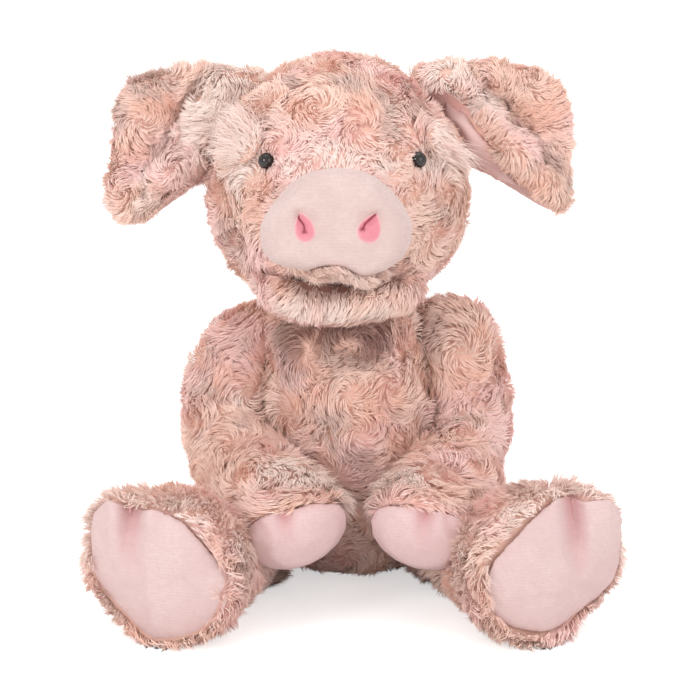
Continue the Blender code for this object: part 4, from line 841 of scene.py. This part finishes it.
# The brows: a patch of long pale pile beside each eye. The strands are straight and fine,
# and fan up and out over the cheek.
BROW_STRANDS = 1500
BROW_GROUND_STRANDS = 2200
BROWS = {"right": {"start": (-43, -68, 236), "only": [], "pale": [(-56, -62, 246, 30)], "seed": 41},
         "left": {"start": (8, -66, 252), "only": [(42, -62, 245, 15), (52, -54, 244, 14)],
                  "pale": [(44, -62, 245, 26)], "seed": 43}}
brow_pile = pile_look(
    "long_pale_pile",
    tips={"peach": shade(254, 232, 224), "pink": shade(253, 226, 220), "taupe": shade(248, 220, 212),
          "blush": shade(250, 222, 212), "pale": shade(254, 236, 230)},
    roots={"peach": shade(244, 204, 190), "pink": shade(243, 201, 191), "taupe": shade(234, 192, 180),
           "pale": shade(246, 212, 200)},
    sheen=0.6, roughness=0.8)
for side, brow in BROWS.items():
    patch = stuffed(side + "_brow_form", (side + "_brow",), 0.0016, 4)
    wear(patch, rose_plush, "long_pale_pile", "head", side + "_brow")
    ground = grow_pile(side + "_brow_ground_pile", patch, BROW_GROUND_STRANDS, brow["seed"], against("snout"),
                       length=0.0065, pale=brow["pale"], away=[(*brow["start"], 140)])
    dress(ground, rose_plush, "long_pale_pile", "head")
    tufts = grow_pile(
        side + "_brow_pile", patch, BROW_STRANDS, brow["seed"] + 1, against("head_skin"),
        length=0.0270, width=0.00032, spacing=0.05, lean=(48, 72), pull=0.25, seam=0.0002, shortest=0.35,
        only=brow["only"], away=[(*brow["start"], 140)])
    dress(tufts, brow_pile, "long_pale_pile", "head")

# The ears: broad flaps of plush, lightly filled and folded along the middle, sewn to the sides of
# the head so that they hang outward. A pale ridge of shorter pile follows each fold.
EAR_STRANDS = 24000
EARS = {
    "right": {
        "roll": [(-71, -16, 283), (-82, -19, 255), (-100, -24, 230), (-112, -26, 215)],
        "crease": [(-83, -17, 287), (-96.5, -18, 260), (-113.5, -25, 232), (-121, -26, 213)],
        "pale": [(-68, -20, 281, 21), (-77, -22, 266, 18), (-84, -23, 252, 15), (-98, -27, 233, 11, 0.7),
                 (-110, -28, 218, 11, 0.6)],
        "way": (-0.6, 0, -0.8), "taupe": [(-112, -12, 282, 17), (-128, -14, 264, 9), (-76, -20, 243, 8)],
        "blush": [(-106, -16, 262, 14), (-122, -18, 244, 12), (-84, -22, 240, 8), (-66, -16, 262, 8)],
        "strip": [], "seam": [],
        "pull": [((-136, -16, 245), 50, (5, 0, 1)), ((-124, -18, 205), 34, (3, 0, 5)), ((-96, -20, 220), 26, (-1, 0, 4))],
        "seed": 51},
    "left": {
        "roll": [(44, -15, 284), (58, -17, 278), (74, -20, 259), (89, -24, 243), (106, -26, 222)],
        "crease": [(71, -18, 279), (83, -20, 266), (94, -23, 254), (105, -25, 241)],
        "pale": [(54, -20, 279, 15), (66, -22, 269, 13), (77, -24, 256, 11, 0.8), (86, -25, 246, 10, 0.6)],
        "way": (0.7, 0, -0.7), "taupe": [(64, -18, 266, 7), (106, -18, 240, 9), (117, -18, 226, 7)],
        "blush": [(100, -16, 264, 16), (86, -24, 244, 8), (100, -26, 230, 9), (50, -16, 272, 6)],
        "seam": trail(EAR_SEAM, 5.0, 0.8),
        "strip": [(50.5, 270, 4.6), (55, 259.5, 7.6), (61, 250, 8.0), (71.5, 240.5, 7.0), (82.5, 230, 5.8), (92, 221.5, 3.2)],
        "pull": [((122, -18, 232), 38, (-5, 0, 2))], "seed": 53},
}
lining_velour = velour_look(
    "ear_lining_velour", shade(238, 204, 200), shade(224, 186, 184), shade(190, 140, 138), 160.0, 0.1)
for side, ear in EARS.items():
    flap = stuffed(side + "_ear_form", (side + "_ear",), 0.0020, 8)
    sink(flap)
    for spot in ear["pull"]:
        grab(flap, *spot)
    for first, last in zip(ear["roll"], ear["roll"][1:]):
        press(flap, first, last, -6.0, 9.0, (0, 1, 0), fade=0.0, shade_mark=0.0)
    for first, last in zip(ear["crease"], ear["crease"][1:]):
        press(flap, first, last, 5.0, 4.0, (0, 1, 0), fade=0.0, shade_mark=0.0)
    wear(flap, rose_plush, "rose_plush", side + "_ear", side + "_ear")
    lining = stuffed(side + "_ear_lining_form", (side + "_ear_lining",), 0.0014, 8)
    wear(lining, lining_velour, "pale_velour", side + "_ear", side + "_ear_lining")
    strips = []
    if ear["strip"]:
        middles, halves = np.array(ear["strip"])[:, :2], np.array(ear["strip"])[:, 2]
        skin = BVHTree.FromObject(flap, bpy.context.evaluated_depsgraph_get())
        bpy.ops.object.select_all(action="DESELECT")
        bpy.ops.mesh.primitive_uv_sphere_add(segments=40, ring_count=48, radius=1)
        strip = bpy.context.object
        strip.name = strip.data.name = side + "_ear_strip"
        stops = np.linspace(0, 1, len(middles))
        for point in strip.data.vertices:
            t = math.acos(max(-1, min(1, point.co.z))) / math.pi
            middle = np.array([np.interp(t, stops, middles[:, i]) for i in (0, 1)])
            ahead = np.array([np.interp(t + 0.05, stops, middles[:, i]) - np.interp(t - 0.05, stops, middles[:, i])
                              for i in (0, 1)])
            ahead /= np.linalg.norm(ahead)
            round_end = max(1e-3, 1 - point.co.z ** 2) ** 0.5
            share = point.co.x / round_end
            half = np.interp(t, stops, halves) * min(1, round_end * 1.8)
            x, z = (middle + np.array((-ahead[1], ahead[0])) * share * half) * MM
            front = skin.ray_cast(Vector((x, -0.2, z)), Vector((0, 1, 0)))[0]
            crown = max(0.0, 1 - share ** 2) ** 0.5 * min(1, round_end * 1.8)
            lift = 0.0076 * crown - 0.0002 if point.co.y < 0 else -0.0020
            point.co = Vector((x, (front.y if front else -0.016) - lift, z))
        alone(strip)
        bpy.ops.object.shade_smooth()
        wear(strip, lining_velour, "pale_velour", side + "_ear")
        strips = [strip]
    ear_pile = grow_pile(
        side + "_ear_pile", flap, EAR_STRANDS, ear["seed"],
        against("head_skin", side + "_ear_lining", side + "_brow", *strips),
        length=0.0098, nap=ear["way"], pale=ear["pale"],
        comb=[(x, y, z, reach * 0.7, ear["way"]) for x, y, z, reach, *_ in ear["pale"]],
        short=[(x, -20, z, half + 6) for x, z, half in ear["strip"]],
        away=[(x, -20, z, half + 9) for x, z, half in ear["strip"]],
        bare=[(x, -20, z, half + 6) for x, z, half in ear["strip"]],
        # Painted shade in the crease beside each ridge and, on the left ear, along its seam to the head.
        taupe=ear["taupe"], blush=ear["blush"], painted_shade=trail(ear["crease"], 5.5, 0.45) + ear["seam"])
    dress(ear_pile, rose_plush, "rose_plush", side + "_ear")

# The arms: plush sleeves that hang from the shoulders into the lap, each ending in a stuffed hoof of
# pale velour that a thread draws in between two toes. The pile is longest at the cuff, over the hoof.
ARM_STRANDS = 26000
PAW_CELL = 0.0015
ARMS = {
    "right": {"cuff": [(-29, -92, 79, 18), (-14, -98, 70, 14), (-44, -96, 72, 14)], "way": (0.3, -0.35, -0.9),
              "cleft": ((-37, -128, 64), (-34, -133, 54)), "lobe": ((-51, -126, 60), (-45, -131, 54)),
              "taupe": [(-86, -40, 92, 12), (-78, -26, 112, 10), (-60, -60, 76, 8)],
              "blush": [(-72, -27, 130, 10), (-80, -50, 70, 10), (-34, -84, 80, 7)],
              # The pale spots over the cuff are painted light on its upward face.
              "pale": [(-29, -96, 76, 20), (-14, -98, 70, 14), (-44, -90, 78, 14), (-62, -30, 106, 10)],
              "pull": [((-88, -20, 118), 38, (-4, 0, 0))], "pressed": -42, "seed": 61},
    "left": {"cuff": [(25, -92, 79, 18), (10, -98, 70, 14), (46, -96, 72, 14)], "way": (-0.15, -0.35, -0.9),
             "cleft": ((38, -130, 66), (35.5, -134, 52)), "lobe": ((48, -126, 66), (52, -128, 52)),
             "taupe": [(45, -18, 140, 15), (66, -36, 94, 9), (78, -46, 72, 8)],
             "blush": [(60, -24, 116, 10), (40, -80, 82, 8), (84, -30, 96, 9)],
             # The pale spots over the cuff are painted light on its upward face.
             "pale": [(28, -96, 75, 19), (12, -98, 70, 12), (56, -44, 100, 9)],
             "pull": [((90, -34, 84), 42, (-10, 0, 0)), ((68, -5, 150), 36, (6, 0, 5))], "pressed": 42, "seed": 63},
}
# The third colour is painted shade for the hoof's creases.
paw_velour = velour_look("hoof_velour", shade(230, 201, 200), shade(213, 180, 180), shade(208, 156, 158), 170.0, 0.1)
thread_look = velour_look(
    "pink_thread_look", shade(228, 180, 178), shade(206, 150, 150), shade(180, 110, 110), 900.0, 0.1)
THREAD_RADIUS = 0.0004


def lay_thread(name, form, start, end, body, node):
    """A drawn thread at the bottom of a cleft, from start to end in mm, seen from the front."""
    skin = BVHTree.FromObject(form, bpy.context.evaluated_depsgraph_get())
    bpy.ops.object.select_all(action="DESELECT")
    bpy.ops.mesh.primitive_uv_sphere_add(segments=10, ring_count=18, radius=1)
    thread = bpy.context.object
    thread.name = thread.data.name = name
    start, end = Vector(start) * MM, Vector(end) * MM
    for point in thread.data.vertices:
        spot = start.lerp(end, 0.05 + (1 - point.co.z) * 0.17)
        front = skin.ray_cast(Vector((spot.x, -0.2, spot.z)), Vector((0, 1, 0)))[0] or spot
        point.co = Vector((spot.x + point.co.x * THREAD_RADIUS, front.y + point.co.y * THREAD_RADIUS, spot.z))
    alone(thread)
    bpy.ops.object.shade_smooth()
    wear(thread, thread_look, "pink_thread", body, node)


for side, arm in ARMS.items():
    sleeve = stuffed(side + "_arm_form", (side + "_arm_skin", side + "_arm_filling"), PLUSH_CELL, 8)
    for spot in arm["pull"]:
        grab(sleeve, *spot)
    sink(sleeve)
    wear(sleeve, rose_plush, "rose_plush", side + "_arm", side + "_arm_skin", side + "_arm_filling")
    hoof = stuffed(side + "_paw_form", (side + "_paw",), PAW_CELL, 10, pressed=arm["pressed"])
    # Painted shade in the cleft between the toes and along the lobe.
    press(hoof, *arm["cleft"], 4.4, 4.4, (0, 0.9, -0.4), shade_mark=0.8, through=True)
    press(hoof, *arm["lobe"], 1.4, 2.2, (0, 0.9, -0.4), shade_mark=0.35, through=True)
    wear(hoof, paw_velour, "pale_velour", side + "_arm", side + "_paw")
    arm_pile = grow_pile(
        side + "_arm_pile", sleeve, ARM_STRANDS, arm["seed"],
        against("torso_skin", "head_skin", "lower_jaw", side + "_leg_skin"), over=against(hoof), seam=0.0003,
        comb=[(*spot, arm["way"]) for spot in arm["cuff"]], long=arm["cuff"],
        taupe=arm["taupe"], blush=arm["blush"], pale=arm["pale"])
    dress(arm_pile, rose_plush, "rose_plush", side + "_arm")
    lay_thread(side + "_hoof_thread", hoof, *arm["cleft"], side + "_arm", side + "_paw_stitch")

# The legs: plush tubes that reach out along the floor and turn up into big round feet. A domed oval of
# the same pale velour is sewn into each foot, with a fine rib across and its top drawn in by a thread.
LEG_STRANDS = 31000
SOLE_CELL = 0.0013
LEGS = {
    "right": {"cleft": ((-115.5, -150, 80), (-117.5, -150, 46)), "middle": (-102, -148, 40), "shift": (1.5, 0, 0),
              "taupe": [(-60, -80, 60, 14), (-128, -140, 20, 12), (-66, -120, 20, 12)],
              "pale": [(-100, -150, 82, 38, 0.95), (-134, -140, 60, 32, 0.9), (-66, -140, 44, 28, 0.75)],
              "blush": [(-70, -140, 50, 9)],
              # Painted shade where the leg meets the body at the floor.
              "painted_shade": [(-50, -60, 5, 20)],
              "pull": [((-132, -148, 72), 34, (-9, 0, 5)), ((-132, -148, 14), 34, (8, 0, 3)),
                       ((-100, -140, 90), 34, (0, 0, -7)), ((-74, -148, 12), 28, (3, 0, 0))],
              "shape": [((-72, -150, 64), 40, (-7, 0, -4)), ((-115, -150, 84), 10, (0, 0, -5)),
                        ((-103, -150, 84), 14, (0, 0, 3)), ((-129, -150, 80), 14, (0, 0, 2))], "seed": 71},
    "left": {"cleft": ((112.5, -150, 82), (118, -150, 42)), "middle": (100, -148, 40), "shift": (3.0, 0, 0),
             "taupe": [(62, -90, 60, 14), (70, -130, 16, 14), (64, -100, 26, 12), (90, -120, 78, 12)],
             "pale": [(104, -150, 82, 38, 0.95), (134, -140, 60, 32, 0.9), (64, -140, 44, 28, 0.75)],
             "blush": [(68, -140, 44, 8)],
             # Painted shade where the leg meets the body at the floor.
             "painted_shade": [(48, -60, 5, 20)],
             "pull": [((130, -148, 76), 38, (11, 0, 5)), ((132, -148, 12), 38, (-9, 0, 5)),
                      ((92, -140, 90), 26, (2, 0, -1))],
             "shape": [((74, -150, 66), 40, (7, 0, -4)), ((112.5, -150, 86), 10, (0, 0, -5)),
                       ((101, -150, 86), 14, (0, 0, 2)), ((126, -150, 84), 14, (0, 0, 2)),
                       ((100, -150, 4), 40, (0, 0, 5))], "seed": 73},
}
SOLE_OVERLAP = (1.09, 1.0, 1.08)
# The third colour is painted shade for the sole's cleft.
sole_velour = velour_look("sole_velour", shade(228, 203, 200), shade(211, 180, 180), shade(208, 158, 160), 170.0, 0.05)
for side, leg in LEGS.items():
    thigh = stuffed(side + "_leg_form", (side + "_leg_skin", side + "_leg_filling"), PLUSH_CELL, 8)
    for spot in leg["pull"]:
        grab(thigh, *spot)
    sink(thigh)
    rest_on_floor(thigh)
    wear(thigh, rose_plush, "rose_plush", side + "_leg", side + "_leg_skin", side + "_leg_filling")
    sole = stuffed(side + "_sole_form", (side + "_sole",), SOLE_CELL, 10)
    places = vertices_of(sole)
    middle = np.array(leg["middle"]) * MM
    places[:] = (places - middle) * np.array(SOLE_OVERLAP) + middle + np.array(leg["shift"]) * MM
    sole.data.vertices.foreach_set("co", places.ravel())
    for spot in leg["pull"] + leg["shape"]:
        grab(sole, *spot)
    # Painted shade in the cleft that the thread draws in.
    press(sole, *leg["cleft"], 9.5, 5.0, (0, 1, -0.1), shade_mark=0.9, through=True)
    (high_x, y, high_z), (low_x, _, low_z) = leg["cleft"]
    for shift in (-8.5, 8.0):
        press(sole, (high_x + shift, y, high_z - 4), (low_x + shift, y, low_z), -2.4, 4.5, (0, 1, -0.1), shade_mark=0.0)
    press(thigh, *leg["cleft"], 9.0, 6.5, (0, 1, -0.1), shade_mark=0.0)
    rest_on_floor(sole, 0.0008)
    # Painted shadow: the leg's cloth darkens in a ring round the sole, where the seam lies in shade.
    rim = against(sole)
    gaps = np.array([(rim.find_nearest(Vector(spot))[3] or 1) / MM for spot in vertices_of(thigh)])
    write(thigh.data, "painted_shade", 0.4 * np.clip(1.6 - gaps / 2.5, 0, 1))
    wear(sole, sole_velour, "pale_velour", side + "_leg", side + "_sole")
    leg_pile = grow_pile(
        side + "_leg_pile", thigh, LEG_STRANDS, leg["seed"],
        against("torso_skin", side + "_arm_skin", side + "_paw"), over=rim, seam=0.0003, lean=(20, 52),
        away=[(leg["middle"][0], -106, leg["middle"][2], 100)],
        taupe=leg["taupe"], blush=leg["blush"], pale=leg["pale"], painted_shade=leg["painted_shade"])
    dress(leg_pile, rose_plush, "rose_plush", side + "_leg")
    lay_thread(side + "_sole_thread", sole, *leg["cleft"], side + "_leg", side + "_sole_stitch")

# The tail: a short curl of plush on the back, with close pile.
TAIL_STRANDS = 2600
tail = stuffed("tail_form", ("tail",), 0.0014, 6)
wear(tail, rose_plush, "rose_plush", "tail", "tail")
dress(grow_pile("tail_pile", tail, TAIL_STRANDS, 81, against("torso_skin"), length=0.0062, spacing=0.012),
      rose_plush, "rose_plush", "tail")
